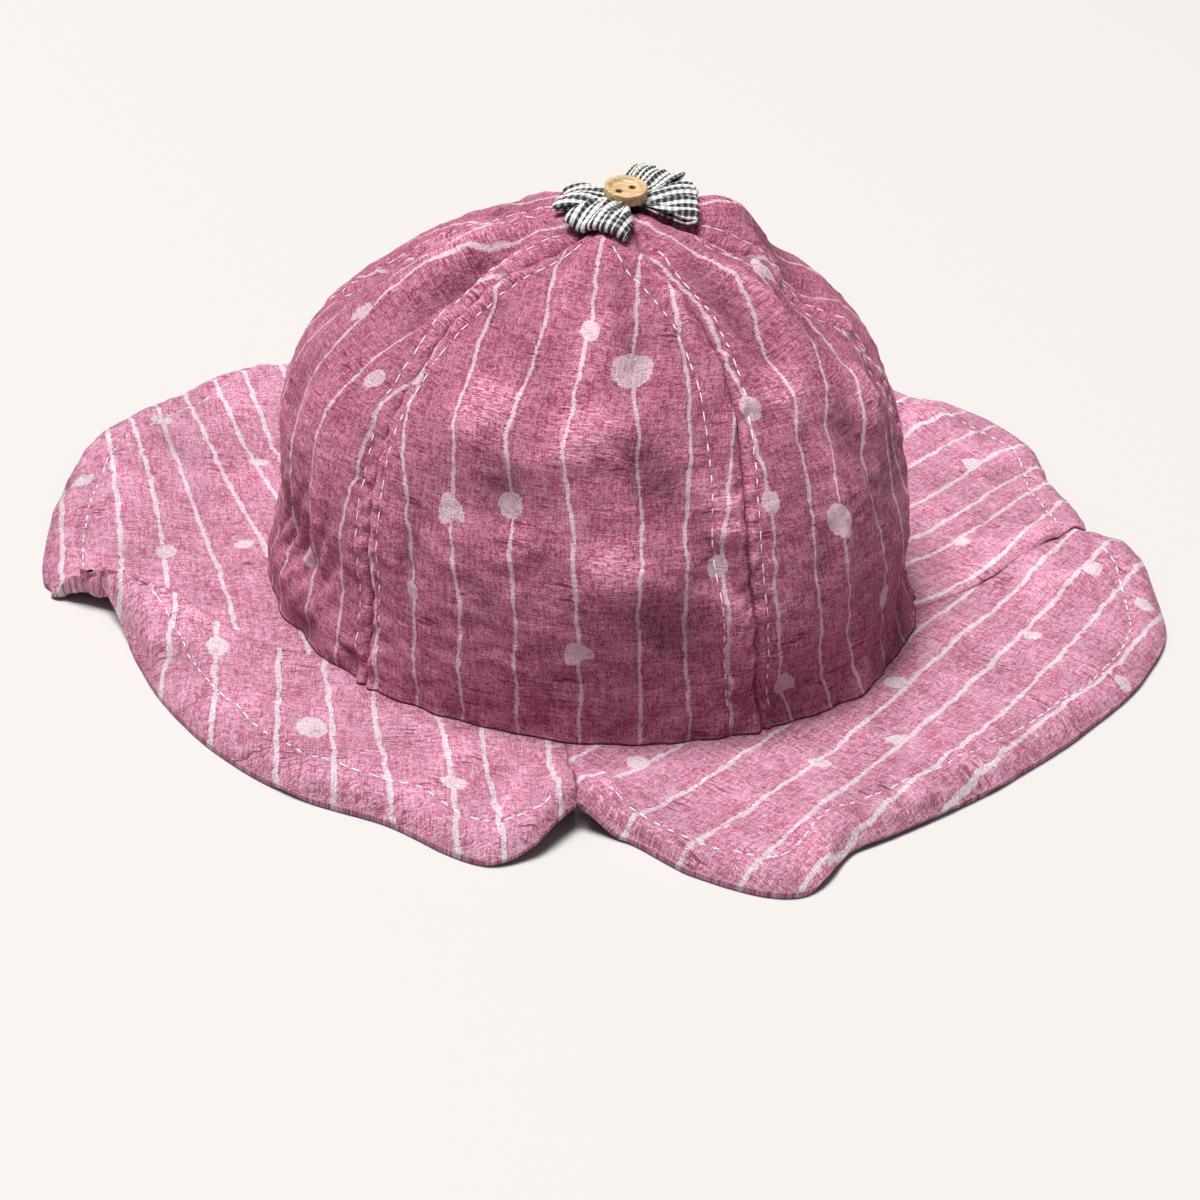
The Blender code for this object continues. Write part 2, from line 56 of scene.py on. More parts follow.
# %% Sizes of the hat
MM = 0.001
AXIS = np.array([-3.0126, -7.0597])
CROWN_RADIUS = 78.5
CROWN_HEIGHT = 94.0
FOLD_DEPTH = 2.0
BRIM_REACH = 50.0
BRIM_WAVE = 10.0
BRIM_TOP = 2.2
CROWN_FOOT = 2.5
# Columns: run, height, left, right, front, back.
SECTIONS = np.array([
    [0.00, 1.000, 0.000, 0.000, 0.000, 0.000],
    [0.08, 0.980, 0.125, 0.125, 0.125, 0.110],
    [0.20, 0.925, 0.325, 0.320, 0.330, 0.295],
    [0.33, 0.840, 0.540, 0.520, 0.540, 0.500],
    [0.45, 0.730, 0.745, 0.690, 0.710, 0.680],
    [0.57, 0.595, 0.905, 0.810, 0.840, 0.830],
    [0.70, 0.430, 0.950, 0.885, 0.920, 0.940],
    [0.83, 0.250, 0.962, 0.930, 0.950, 0.970],
    [0.93, 0.100, 0.985, 0.935, 0.950, 0.980],
    [1.00, 0.000, 1.000, 1.000, 0.965, 1.000],
])
# Angle of each panel seam at four runs from the apex to the brim.
SEAM_RUNS = np.array([0.10, 0.30, 0.65, 1.00])
PANEL_SEAMS = np.array([
    [-38.0, -48.0, -43.0, -39.0],
    [16.0, 32.0, 27.5, 32.0],
    [76.0, 86.0, 88.0, 92.0],
    [136.0, 144.0, 147.0, 149.0],
    [196.0, 201.0, 204.0, 206.0],
    [258.0, 258.0, 261.0, 263.0],
])
# Columns: angle, run, half-width in degrees, half-length in run, outward share of FOLD_DEPTH.
CROWN_FOLDS = np.array([
    [116, 0.21, 46, 0.15, 2.75], [92, 0.34, 28, 0.09, -1.75], [-20, 0.52, 22, 0.12, 0.80],
    [18, 0.60, 14, 0.09, -1.10], [8, 0.73, 20, 0.08, 0.90], [-62, 0.86, 34, 0.09, -1.30],
    [-75, 0.30, 11, 0.20, 0.90], [-62, 0.34, 9, 0.18, -0.90], [-96, 0.36, 10, 0.20, -0.90],
    [58, 0.33, 11, 0.20, 0.80], [46, 0.42, 9, 0.18, -0.70], [170, 0.55, 24, 0.16, 1.00],
    [190, 0.40, 13, 0.20, -0.90], [228, 0.62, 26, 0.16, 0.90],
])
# Angle where a seam between two petals leaves the crown, and the angle of its notch at the edge.
PETAL_SEAMS = np.array([[-50.0, -75.0], [-2.0, 0.5], [87.0, 105.5], [186.0, 184.0], [310.0, 285.0]])
# Columns: outer angle, reach as a share of BRIM_REACH, crest and edge as shares of BRIM_WAVE.
EDGE = np.array([
    [-75, 0.86, 0.98, 0.68], [-71, 0.76, 0.68, 0.48], [-63, 0.72, 0.38, 0.00],
    [-52, 0.74, 0.28, 0.00], [-40, 0.77, 0.28, 0.00], [-30, 0.78, 0.38, 0.08],
    [-20, 0.74, 0.28, 0.00], [-8, 0.86, 0.28, 0.00], [-4, 0.76, 0.48, 0.28],
    [0.5, 0.52, 0.68, 0.63], [6, 0.61, 0.38, 0.03], [12, 0.84, 0.28, 0.00],
    [21, 1.04, 0.23, 0.00], [30, 0.83, 0.38, 0.08], [42, 0.80, 0.38, 0.08],
    [52, 0.82, 0.28, 0.00], [66, 0.92, 0.23, 0.00], [79, 1.09, 0.18, 0.00],
    [90, 1.21, 0.18, 0.08], [98, 1.21, 0.38, 0.28], [103, 1.15, 0.68, 0.58],
    [105.5, 0.99, 0.68, 0.68], [110, 1.05, 0.58, 0.48], [118, 1.12, 0.38, 0.28],
    [130, 1.37, 0.28, 0.18], [136, 1.35, 0.38, 0.33], [143, 1.16, 0.58, 0.48],
    [160, 1.24, 0.28, 0.08], [175, 1.16, 0.38, 0.18], [184, 0.96, 0.68, 0.58],
    [192, 1.16, 0.38, 0.18], [210, 1.22, 0.18, 0.00], [223, 0.95, 0.68, 0.68],
    [229, 1.08, 0.68, 0.58], [240, 1.12, 0.58, 0.48], [250, 1.16, 0.68, 0.48],
    [260, 1.12, 0.58, 0.38], [270, 1.08, 0.38, 0.18], [276, 1.06, 0.28, 0.00],
    [281, 1.04, 0.18, 0.00], [283, 0.98, 0.18, 0.00],
])
print(len(PANEL_SEAMS), "crown seams and", len(PETAL_SEAMS) - 1, "brim seams")


# %% Curves through the tables
def smooth(low, high, value):
    t = np.clip((value - low) / (high - low), 0.0, 1.0)
    return t * t * (3.0 - 2.0 * t)


def bump(distance, half):
    d = np.clip(np.abs(distance) / half, 0.0, 1.0)
    return (1.0 - d * d) ** 2


def wrap(angle):
    return (angle + 180.0) % 360.0 - 180.0


def curve(xs, ys, x):
    """Smooth curve through the rows of a table that stays between neighbouring rows."""
    xs = np.asarray(xs, float)
    ys = np.asarray(ys, float)
    step = np.diff(xs)
    slope = np.diff(ys) / step
    tangent = np.empty(len(xs))
    tangent[0] = slope[0]
    tangent[-1] = slope[-1]
    w1 = 2.0 * step[1:] + step[:-1]
    w2 = step[1:] + 2.0 * step[:-1]
    with np.errstate(divide="ignore", invalid="ignore"):
        mean = (w1 + w2) / (w1 / slope[:-1] + w2 / slope[1:])
    tangent[1:-1] = np.where(slope[:-1] * slope[1:] > 0, mean, 0.0)
    i = np.clip(np.searchsorted(xs, x, side="right") - 1, 0, len(xs) - 2)
    u = (x - xs[i]) / step[i]
    return (ys[i] * (1 + 2 * u) * (1 - u) ** 2 + tangent[i] * step[i] * u * (1 - u) ** 2
            + ys[i + 1] * u * u * (3 - 2 * u) + tangent[i + 1] * step[i] * u * u * (u - 1))


def around(column, angle):
    """Value of a column of the brim edge table, read once around the circle."""
    start = wrap(EDGE[:, 0])
    order = np.argsort(start)
    turns = np.concatenate([start[order] - 360.0, start[order], start[order] + 360.0])
    return curve(turns, np.tile(EDGE[order, column], 3), wrap(angle))


def cloth_noise(spots, size, seed):
    """Smooth noise between about -1 and 1, with bumps of the given size in millimetres."""
    shift = Vector((seed * 17.3, seed * 5.1, seed * 9.7))
    return np.array([noise.noise(Vector(s) / size + shift) for s in spots]) * 1.6


# %% The crown and brim surfaces
def section(angle, run):
    th = np.radians(angle)
    s, c = np.sin(th), np.cos(th)
    height = curve(SECTIONS[:, 0], SECTIONS[:, 1], run)
    left, right, front, back = (curve(SECTIONS[:, 0], SECTIONS[:, k], run) for k in (2, 3, 4, 5))
    side = np.where(s > 0, right, left)
    depth = np.where(c > 0, front, back)
    radius = CROWN_RADIUS * side * depth / np.sqrt((s * depth) ** 2 + (c * side) ** 2 + 1e-12)
    return radius, height


def seam_angle(index, run):
    rows = PANEL_SEAMS[index % 6]
    return curve(SEAM_RUNS, rows, np.clip(run, SEAM_RUNS[0], 1.0)) + 360.0 * (index // 6)


def crown_relief(angle, run, radius):
    """Folds, panel bellies and seam grooves of the crown, as an outward offset."""
    out = np.zeros_like(radius)
    for at, at_run, half, half_run, depth in CROWN_FOLDS:
        out = out + FOLD_DEPTH * depth * bump(wrap(angle - at), half) * bump(run - at_run, half_run)
    nearest = np.full_like(radius, 1e6)
    for index in range(6):
        away = np.radians(np.abs(wrap(angle - seam_angle(index, run)))) * radius
        nearest = np.minimum(nearest, away)
    fade = smooth(0.0, 0.12, run) * smooth(1.0, 0.93, run)
    belly = 1.2 * smooth(0.0, 1.0, nearest / (math.pi / 6.0 * np.maximum(radius, 1.0)))
    groove = 1.6 * (1.0 - smooth(0.0, 6.0, nearest)) ** 2
    return out + fade * (belly - groove)


def crown_frame(angle, run):
    """Spot on the crown's outer face and the outward direction there, with no fine relief."""
    angle, run = np.broadcast_arrays(np.asarray(angle, float), np.asarray(run, float))
    radius, height = section(angle, run)
    th = np.radians(angle)
    after, height_after = section(angle, np.minimum(run + 0.01, 1.0))
    before, height_before = section(angle, np.maximum(run - 0.01, 0.0))
    dr, dz = after - before, CROWN_HEIGHT * (height_after - height_before)
    size = np.hypot(dr, dz) + 1e-9
    out = crown_relief(angle, run, radius)
    nr, nz = -dz / size, dr / size
    radius = radius + out * nr
    z = CROWN_FOOT + CROWN_HEIGHT * height + out * nz
    spot = np.stack([radius * np.sin(th), -radius * np.cos(th), z], -1)
    way = np.stack([nr * np.sin(th), -nr * np.cos(th), nz], -1)
    return spot, way


def brim_spot(outer, share):
    """Upper face of the brim, from the crown seam (share 0) to the edge (share 1)."""
    outer, share = np.broadcast_arrays(np.asarray(outer, float), np.asarray(share, float))
    first = PETAL_SEAMS[0, 1]
    inner = np.interp((outer - first) % 360.0 + first, PETAL_SEAMS[:, 1], PETAL_SEAMS[:, 0])
    start, _ = section(inner, np.ones_like(inner))
    start = start - 3.2 * np.clip(-share, 0.0, 1.0)
    s = np.clip(share, 0.0, 1.0)
    ti, to = np.radians(inner), np.radians(outer)
    end = CROWN_RADIUS + BRIM_REACH * around(1, outer)
    x = (1.0 - s) * start * np.sin(ti) + s * end * np.sin(to)
    y = -(1.0 - s) * start * np.cos(ti) - s * end * np.cos(to)
    crest, edge = around(2, outer), around(3, outer)
    wave = crest * smooth(0.2, 0.84, s) + (edge - crest) * smooth(0.84, 1.0, s) ** 1.3
    return np.stack([x, y, BRIM_TOP + BRIM_WAVE * wave], -1)


print("crown top at", round(float(crown_frame(0.0, 0.0)[0][2]), 1), "mm")

# %% [markdown]
# The print is thin wavy stripes strung with small pale dots, ovals and hearts. An image would be
# the usual way, but a few charted lines are sharper and smaller. Each stripe is a row of offsets
# across the cloth at a few stations along it. Every point of the cloth keeps a stripe number that
# is whole exactly on a stripe, and the material draws a line wherever the number is whole.

# %% Stripes and motifs
PANEL_STATIONS = np.array([0.0, 0.20, 0.35, 0.50, 0.65, 0.80, 1.0])
# Offset in mm from the middle line of the panel at each station, one row for each stripe.
FRONT_STRIPES = np.array([
    [-40, -38, -34, -37, -34, -32, -33],
    [-20, -24, -23, -23, -22, -20, -22],
    [-9, -10, -9, -11, -8, -7.5, -9],
    [-2, -0.5, 1, 1, 5, 6, 5],
    [7, 8.5, 11, 16, 19, 19, 18],
    [11, 15, 22, 27, 29, 29, 29],
    [20, 27, 34, 37, 37, 38, 39],
])
RIGHT_STRIPES = np.array([
    [-34, -34, -34, -38, -42, -46, -46],
    [-6, -11, -20, -27, -31, -34, -32],
    [-2, -1, -9, -16, -20, -22, -21],
    [6, 10, 4, -6, -12.5, -13, -11],
    [12, 14, 13, 7, 2, 3, 3],
    [22, 24, 26, 21, 14, 15, 17],
    [32, 34, 36, 33, 27, 28, 30],
])
PLAIN_STRIPES = np.array([
    [-38, -40, -37, -39, -36, -38, -37],
    [-25, -26, -24, -27, -25, -24, -26],
    [-12, -13, -14, -12, -13, -15, -13],
    [0, 1, -1, 0, 2, 0, -1],
    [11, 13, 12, 14, 12, 13, 14],
    [25, 24, 26, 25, 27, 25, 26],
    [38, 37, 39, 38, 37, 40, 38],
])
PETAL_STATIONS = np.array([-120.0, -80.0, -40.0, 0.0, 40.0, 80.0, 120.0])
# Direction of the stripes in degrees from +X toward the back, then the offset of each stripe in
# mm from the crown's axis at each station.
PETAL_STRIPES = {
    "brim_petal_front_left": (95.0, np.array([
        [-112, -111, -110, -111, -110, -111, -110],
        [-98, -98, -97, -98, -97, -98, -97],
        [-86, -85, -87, -88, -87, -87, -87],
        [-69, -71, -73, -75, -75, -75, -75],
        [-57, -59, -63, -64, -64, -64, -64],
        [-44, -49, -53, -54, -54, -54, -54],
        [-32, -35, -40, -42, -42, -42, -42],
        [-23, -27, -29, -30, -30, -30, -30],
        [-11, -13, -15, -16, -16, -16, -16],
        [2, 1, 0, 0, 0, 0, 0],
    ])),
    "brim_petal_back_left": (103.0, np.array([
        [-127, -126, -125, -126, -126, -127, -127],
        [-114, -114, -113, -112, -113, -115, -117],
        [-106, -105, -103, -102, -104, -109, -111],
        [-86, -86, -86, -89, -95, -101, -104],
        [-70, -70, -71, -75, -83, -92, -98],
        [-60, -60, -62, -66, -73, -83, -91],
        [-50, -50, -52, -57, -66, -75, -81],
        [-38, -38, -40, -45, -55, -64, -70],
        [-26, -26, -28, -32, -40, -50, -58],
        [-13, -13, -15, -18, -26, -36, -44],
        [0, 0, -2, -5, -12, -22, -30],
        [13, 13, 11, 8, 2, -8, -16],
    ])),
    "brim_petal_back_right": (47.0, np.array([
        [-36, -35, -36, -37, -36, -35, -36],
        [-22, -23, -24, -23, -22, -23, -24],
        [-10, -11, -10, -9, -10, -11, -10],
        [2, 3, 2, 1, 2, 3, 2],
        [14, 13, 14, 15, 14, 13, 12],
        [25, 26, 25, 24, 25, 26, 24],
        [36, 37, 36, 37, 37, 37, 35],
        [46, 45, 44, 43, 43, 45, 43],
        [58, 58, 57, 56, 57, 60, 52],
        [70, 71, 70, 69, 70, 71, 68],
        [83, 82, 84, 83, 82, 83, 82],
    ])),
    "brim_petal_front_right": (55.0, np.array([
        [20, 20, 20, 20, 20, 20, 20],
        [33, 33, 33, 33, 33, 33, 33],
        [47, 46, 47, 47, 47, 47, 47],
        [56, 57, 60, 60, 60, 60, 60],
        [71, 71, 72, 72, 72, 71.5, 71],
        [84, 85, 86, 84, 81, 81, 80],
        [97, 98, 97, 95, 92, 90, 89],
        [108, 108, 107, 107, 104, 100, 97],
        [119, 119, 115, 115, 116, 112, 108],
        [130, 130, 128, 127, 128, 125, 121],
        [142, 142, 141, 140, 141, 139, 135],
    ])),
}
# Motifs: offset and run on a panel, or x and y on the brim, then half-width, half-length, kind.
PANEL_MOTIFS = {
    "crown_panel_front": [(1.0, 0.322, 2.0, 3.0, "dot"), (11.3, 0.375, 4.4, 4.4, "dot"),
                          (-22.4, 0.640, 3.4, 3.6, "heart"), (-9.0, 0.611, 2.9, 3.0, "dot"),
                          (5.5, 0.839, 3.4, 2.8, "heart"), (36.2, 0.697, 2.3, 2.6, "dot"),
                          (-38.2, 0.457, 2.2, 2.8, "dot"), (-32.0, 0.80, 1.8, 2.0, "dot")],
    "crown_panel_front_right": [(-29.5, 0.603, 2.2, 2.6, "dot"), (-24.0, 0.449, 2.4, 3.0, "dot"),
                                (-12.6, 0.670, 3.2, 4.6, "dot"), (-31.8, 0.929, 2.8, 2.6, "heart"),
                                (11.0, 0.255, 3.2, 3.2, "heart"), (3.0, 0.86, 2.4, 2.8, "dot")],
    "crown_panel_front_left": [(21.5, 0.498, 2.3, 2.8, "dot"), (0.3, 0.446, 2.2, 3.2, "dot"),
                               (-13.0, 0.72, 2.6, 2.8, "heart"), (12.5, 0.86, 2.4, 3.2, "dot")],
    "crown_panel_back_right": [(0.0, 0.42, 2.4, 3.2, "dot"), (-13.0, 0.66, 3.2, 3.2, "heart"),
                               (25.5, 0.78, 2.6, 3.0, "dot")],
    "crown_panel_back": [(-13.0, 0.46, 3.2, 3.4, "heart"), (12.5, 0.62, 2.8, 3.0, "dot"),
                         (0.0, 0.84, 2.4, 3.4, "dot")],
    "crown_panel_back_left": [(1.0, 0.40, 2.4, 3.2, "dot"), (-13.0, 0.74, 3.0, 3.0, "dot"),
                              (25.5, 0.62, 3.2, 3.2, "heart")],
}
PETAL_MOTIFS = {
    "brim_petal_front_left": [(-82, -53, 3.4, 2.6, "dot"), (-57, -81, 5.0, 3.4, "dot"),
                              (-25, -98, 2.6, 3.0, "dot")],
    "brim_petal_back_left": [(-102, -10, 3.0, 2.6, "dot"), (-88, 41, 2.0, 2.6, "dot"),
                             (-85, -1, 2.0, 2.8, "dot"), (-128, 17, 2.8, 3.0, "dot"),
                             (-115, 51, 2.4, 2.8, "dot"), (-60, 92, 3.0, 3.0, "heart")],
    "brim_petal_front_right": [(13, -81, 2.6, 2.6, "dot"), (52, -77, 2.2, 2.6, "dot"),
                               (70, -64, 3.2, 2.4, "heart"), (71, -39, 3.0, 2.4, "dot"),
                               (105, -14, 2.4, 2.2, "dot"), (122, 14, 2.8, 2.4, "dot"),
                               (134, 4, 2.6, 2.6, "dot"), (124, -32, 2.2, 2.2, "dot")],
    "brim_petal_back_right": [(92, 30, 2.4, 2.0, "dot"), (98, 72, 3.0, 3.0, "heart"),
                              (40, 100, 2.6, 2.6, "dot")],
}


def stripe_number(stations, lines, station, offset):
    """Stripe number and local stripe spacing in mm for points of the cloth."""
    rows = np.stack([curve(stations, line, np.clip(station, stations[0], stations[-1]))
                     for line in lines])
    gaps = np.maximum(np.diff(rows, axis=0), 3.0)
    number = np.where(offset < rows[0], (offset - rows[0]) / gaps[0], 0.0)
    spacing = gaps[0].copy()
    for k in range(len(lines) - 1):
        inside = (offset >= rows[k]) & ((offset < rows[k + 1]) | (k == len(lines) - 2))
        number = np.where(inside, k + (offset - rows[k]) / gaps[k], number)
        spacing = np.where(inside, gaps[k], spacing)
    return number, spacing


def motif_depth(across, along, motifs):
    """How far inside a motif each point lies, in mm, negative outside all of them."""
    depth = np.full(across.shape, -9.0)
    for x, y, wide, tall, kind in motifs:
        turn = 0.5 * math.sin(3.0 * x + y)
        u = ((across - x) * math.cos(turn) + (along - y) * math.sin(turn)) / wide
        v = ((along - y) * math.cos(turn) - (across - x) * math.sin(turn)) / tall
        if kind == "heart":
            lift = 1.15 * v + 0.95 * np.sqrt(u * u + 0.05) - 0.38
            size = np.sqrt(u * u + lift * lift)
        else:
            size = np.hypot(u, v)
        depth = np.maximum(depth, (1.0 - size) * min(wide, tall))
    return depth


print(sum(len(m) for m in PANEL_MOTIFS.values()), "motifs on the crown,",
      sum(len(m) for m in PETAL_MOTIFS.values()), "on the brim")

# %% [markdown]
# A piece of cloth starts as a flat grid, as it does when it is cut. Each grid point is then moved
# to its place on the surface and pushed in or out for folds, puckers and crinkle. Simulation could
# find the folds too, but the folds of this hat are known, so they are placed. A solid wall is
# added last, so both faces and the turned edges are real.

# %% Grids of cloth
def make_sheet(name, columns, rows, shape, wall):
    """A grid shaped by a function of two shares, with its print, given a wall on its inner side."""
    bm = bmesh.new()
    bmesh.ops.create_grid(bm, x_segments=columns, y_segments=rows, size=0.5)
    bm.verts.index_update()
    flat = np.array([(v.co.x + 0.5, v.co.y + 0.5) for v in bm.verts])
    spots, weave, marks, outward = shape(flat[:, 0], flat[:, 1])
    for v, spot in zip(bm.verts, spots):
        v.co = spot * MM
    for key, values in marks.items():
        layer = bm.verts.layers.float.new(key)
        for v, value in zip(bm.verts, values):
            v[layer] = value
    uv = bm.loops.layers.uv.new("cloth")
    for face in bm.faces:
        for loop in face.loops:
            loop[uv].uv = weave[loop.vert.index]
    bm.normal_update()
    facing_out = sum(face.normal.dot(Vector(outward)) * face.calc_area() for face in bm.faces)
    if facing_out < 0.0:
        bmesh.ops.reverse_faces(bm, faces=bm.faces)
    area = sum(face.calc_area() for face in bm.faces)
    order = np.lexsort((np.round(flat[:, 0], 5), np.round(flat[:, 1], 5)))
    net = spots[order].reshape(rows + 1, columns + 1, 3)
    widest = np.linalg.norm(np.diff(net, axis=1), axis=2).sum(1).max()
    longest = np.linalg.norm(np.diff(net, axis=0), axis=2).sum(0).max()
    cut = (float(widest) * MM, float(longest) * MM, area)
    mesh = bpy.data.meshes.new(name)
    bm.to_mesh(mesh)
    bm.free()
    mesh.shade_smooth()
    piece = bpy.data.objects.new(name, mesh)
    bpy.context.scene.collection.objects.link(piece)
    thick = piece.modifiers.new("wall", "SOLIDIFY")
    thick.thickness = wall * MM
    thick.offset = -1.0
    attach(piece, "root")
    return piece, cut


def soft_edge(piece, width):
    """Rounds the turned edge of a sheet."""
    edge = piece.modifiers.new("turned_edge", "BEVEL")
    edge.width = width * MM
    edge.segments = 3
    edge.limit_method = "ANGLE"
    edge.angle_limit = math.radians(55.0)


print("grid helper ready")

# %% [markdown]
# Crown panels. Each is cut like a slice of peel and sewn to its neighbours, so its sides turn in
# along the seams and its foot turns in on the brim. The seams pull the cloth into small puckers,
# the rows of topstitching press fine grooves beside them, and the loose weave crinkles between.

# %% Fine relief of the crown
PANEL_NAMES = ("crown_panel_front", "crown_panel_front_right", "crown_panel_back_right",
               "crown_panel_back", "crown_panel_back_left", "crown_panel_front_left")
TIP_RUN = 0.035
# Distance in mm of the topstitching from each seam, on the side before it and the side after it.
STITCH_SIDES = ((3.4, 3.4), (8.0, 2.8), (3.0, 3.0), (3.0, 3.0), (3.0, 3.0), (3.0, 3.0))
# Small folds: angle, run, half-width in mm, half-length in run, outward mm, slant in degrees a run.
SMALL_FOLDS = (
    (-24, 0.48, 11.0, 0.08, 1.9, 0.0), (-3, 0.49, 10.0, 0.07, 1.8, 0.0),
    (10, 0.56, 7.0, 0.10, -2.1, 40.0), (22, 0.60, 7.0, 0.08, 1.5, 30.0),
    (-14, 0.60, 13.0, 0.07, -1.8, 0.0), (3, 0.70, 12.0, 0.07, 1.3, 60.0),
    (14, 0.80, 12.0, 0.09, -1.2, 60.0), (24, 0.78, 6.0, 0.08, 1.0, 40.0),
    (44, 0.45, 9.0, 0.07, 1.6, 0.0), (70, 0.52, 9.0, 0.08, 1.6, 0.0),
    (56, 0.56, 8.0, 0.08, -1.6, 0.0), (78, 0.68, 8.0, 0.10, -1.3, 0.0),
    (-6, 0.36, 6.0, 0.09, 1.2, -20.0), (6, 0.37, 5.0, 0.09, -1.2, -20.0),
    (-46, 0.60, 5.0, 0.12, -1.0, 0.0), (-72, 0.60, 8.0, 0.10, -0.8, 0.0),
    (-50, 0.27, 5.0, 0.17, 1.4, 20.0), (-61, 0.31, 5.5, 0.17, -1.8, 20.0),
    (-72, 0.28, 6.0, 0.17, 1.4, 10.0), (-84, 0.32, 5.5, 0.18, -1.8, 0.0),
    (-96, 0.28, 6.0, 0.16, 1.2, -10.0), (-20, 0.22, 4.0, 0.12, 0.8, 20.0),
    (4, 0.24, 4.0, 0.13, -0.7, 0.0), (24, 0.26, 3.0, 0.12, 0.9, 12.0),
    (44, 0.30, 4.0, 0.16, -1.1, 20.0), (56, 0.27, 4.5, 0.15, 1.0, 10.0),
    (70, 0.36, 4.5, 0.12, -1.1, -10.0), (100, 0.30, 4.0, 0.14, -1.0, -10.0), (112, 0.29, 16.0, 0.12, -1.5, 0.0),
    (128, 0.26, 4.0, 0.14, -1.0, 0.0), (156, 0.28, 4.5, 0.15, 1.0, 10.0),
    (176, 0.24, 4.0, 0.14, -0.9, 0.0), (214, 0.28, 4.5, 0.15, 1.0, 10.0),
    (240, 0.26, 4.0, 0.14, -1.0, 0.0), (-12, 0.62, 6.0, 0.11, 0.9, 10.0),
    (20, 0.66, 5.0, 0.12, -1.0, 8.0), (-32, 0.76, 5.0, 0.14, -0.8, 8.0),
    (-56, 0.74, 5.0, 0.16, 0.9, 0.0), (48, 0.72, 5.0, 0.16, 0.8, 5.0),
    (60, 0.62, 4.0, 0.16, -0.8, 5.0), (150, 0.72, 5.0, 0.18, 0.8, 0.0),
    (200, 0.70, 5.0, 0.18, -0.8, 0.0), (232, 0.74, 5.0, 0.16, 0.8, 0.0),
)
# Short upright flutes: angle, half-width in degrees, run, half-length in run, pitch in mm, depth in mm.
FLUTES = ((-64, 24, 0.85, 0.15, 6.2, 0.75), (120, 26, 0.88, 0.12, 7.0, 0.5), (240, 26, 0.86, 0.13, 6.6, 0.5))


def run_length(index, run):
    """Length in mm from the apex down the middle of a panel."""
    steps = np.linspace(0.0, 1.0, 80)
    middle = 0.5 * (seam_angle(index, steps) + seam_angle(index + 1, steps))
    line, _ = crown_frame(middle, steps)
    lengths = np.concatenate([[0.0], np.cumsum(np.linalg.norm(np.diff(line, axis=0), axis=1))])
    return np.interp(run, steps, lengths)


def panel_cloth(index, share, run, full=True):
    """Spot on the finished outer face of a panel, its outward direction and offsets in mm."""
    left, right = seam_angle(index, run), seam_angle(index + 1, run)
    angle = left + (right - left) * share
    radius, _ = section(angle, run)
    wide = np.radians(right - left) * radius
    spot, way = crown_frame(angle, run)
    across = (share - 0.5) * wide
    along = run_length(index, run)
    out = np.zeros_like(across)
    for at, at_run, half, half_run, rise, slant in SMALL_FOLDS:
        away = np.radians(wrap(angle - at - slant * (run - at_run))) * radius
        out += 1.5 * rise * bump(away, half) * bump(run - at_run, half_run)
    arc = np.radians(angle) * radius
    for at, half, at_run, half_run, pitch, deep in FLUTES:
        ripple = np.cos(2.0 * math.pi * (arc / pitch + 0.35 * np.sin(9.0 * run + at)))
        out += deep * ripple * bump(wrap(angle - at), half) * bump(run - at_run, half_run)
    foot = (1.0 - run) * CROWN_HEIGHT * 1.35
    for near, seam, side in ((share * wide, index, 1), ((1.0 - share) * wide, index + 1, 0)):
        row = STITCH_SIDES[seam % 6][side] * smooth(0.0, 0.3, run + 0.12)
        out -= 0.48 * (1.0 - smooth(0.0, 1.1, near)) - 0.5 * (1.0 - smooth(1.0, 5.0, near))
        out -= 0.45 * np.exp(-((near - row) / 0.9) ** 2)
        if full:
            beat = np.stack([along, np.full_like(along, seam * 31.0 + side * 7.0), near * 0.4], -1)
            uneven = cloth_noise(beat, 9.0, seam + 3 * side)
            twist = np.cos(2.0 * math.pi * (along + (0.8 if side else -0.8) * near) / 5.4 + 2.6 * uneven)
            roll = np.exp(-((near - 1.7) / 1.5) ** 2)
            out += (0.25 + 0.28 * twist + 0.25 * uneven) * roll * smooth(0.02, 0.25, run)
            out += 0.55 * cloth_noise(beat, 4.0, seam + 3 * side + 40) * np.exp(-(near / (row + 3.5)) ** 2)
    low = np.exp(-(foot / 6.0) ** 2)
    out -= 0.5 * low
    if full:
        beat = np.stack([np.radians(angle) * radius, foot * 0.4, np.zeros_like(foot)], -1)
        out += 0.8 * cloth_noise(beat, 7.0, 11) * np.exp(-(foot / 8.0) ** 2)
        out += 0.70 * cloth_noise(spot, 17.0, 1) * smooth(0.03, 0.2, run)
        flow = spot * np.array([1.0, 1.0, 1.7])
        out += 0.30 * cloth_noise(flow, 5.5, 2) + 0.13 * cloth_noise(flow, 2.2, 3)
    spot = spot + way * out[:, None]
    spot[:, :2] += AXIS
    return spot, way, across, along, wide, out


print("small folds:", len(SMALL_FOLDS))


# %% Crown panels
PANEL_COLUMNS = 104
PANEL_ROWS = 150


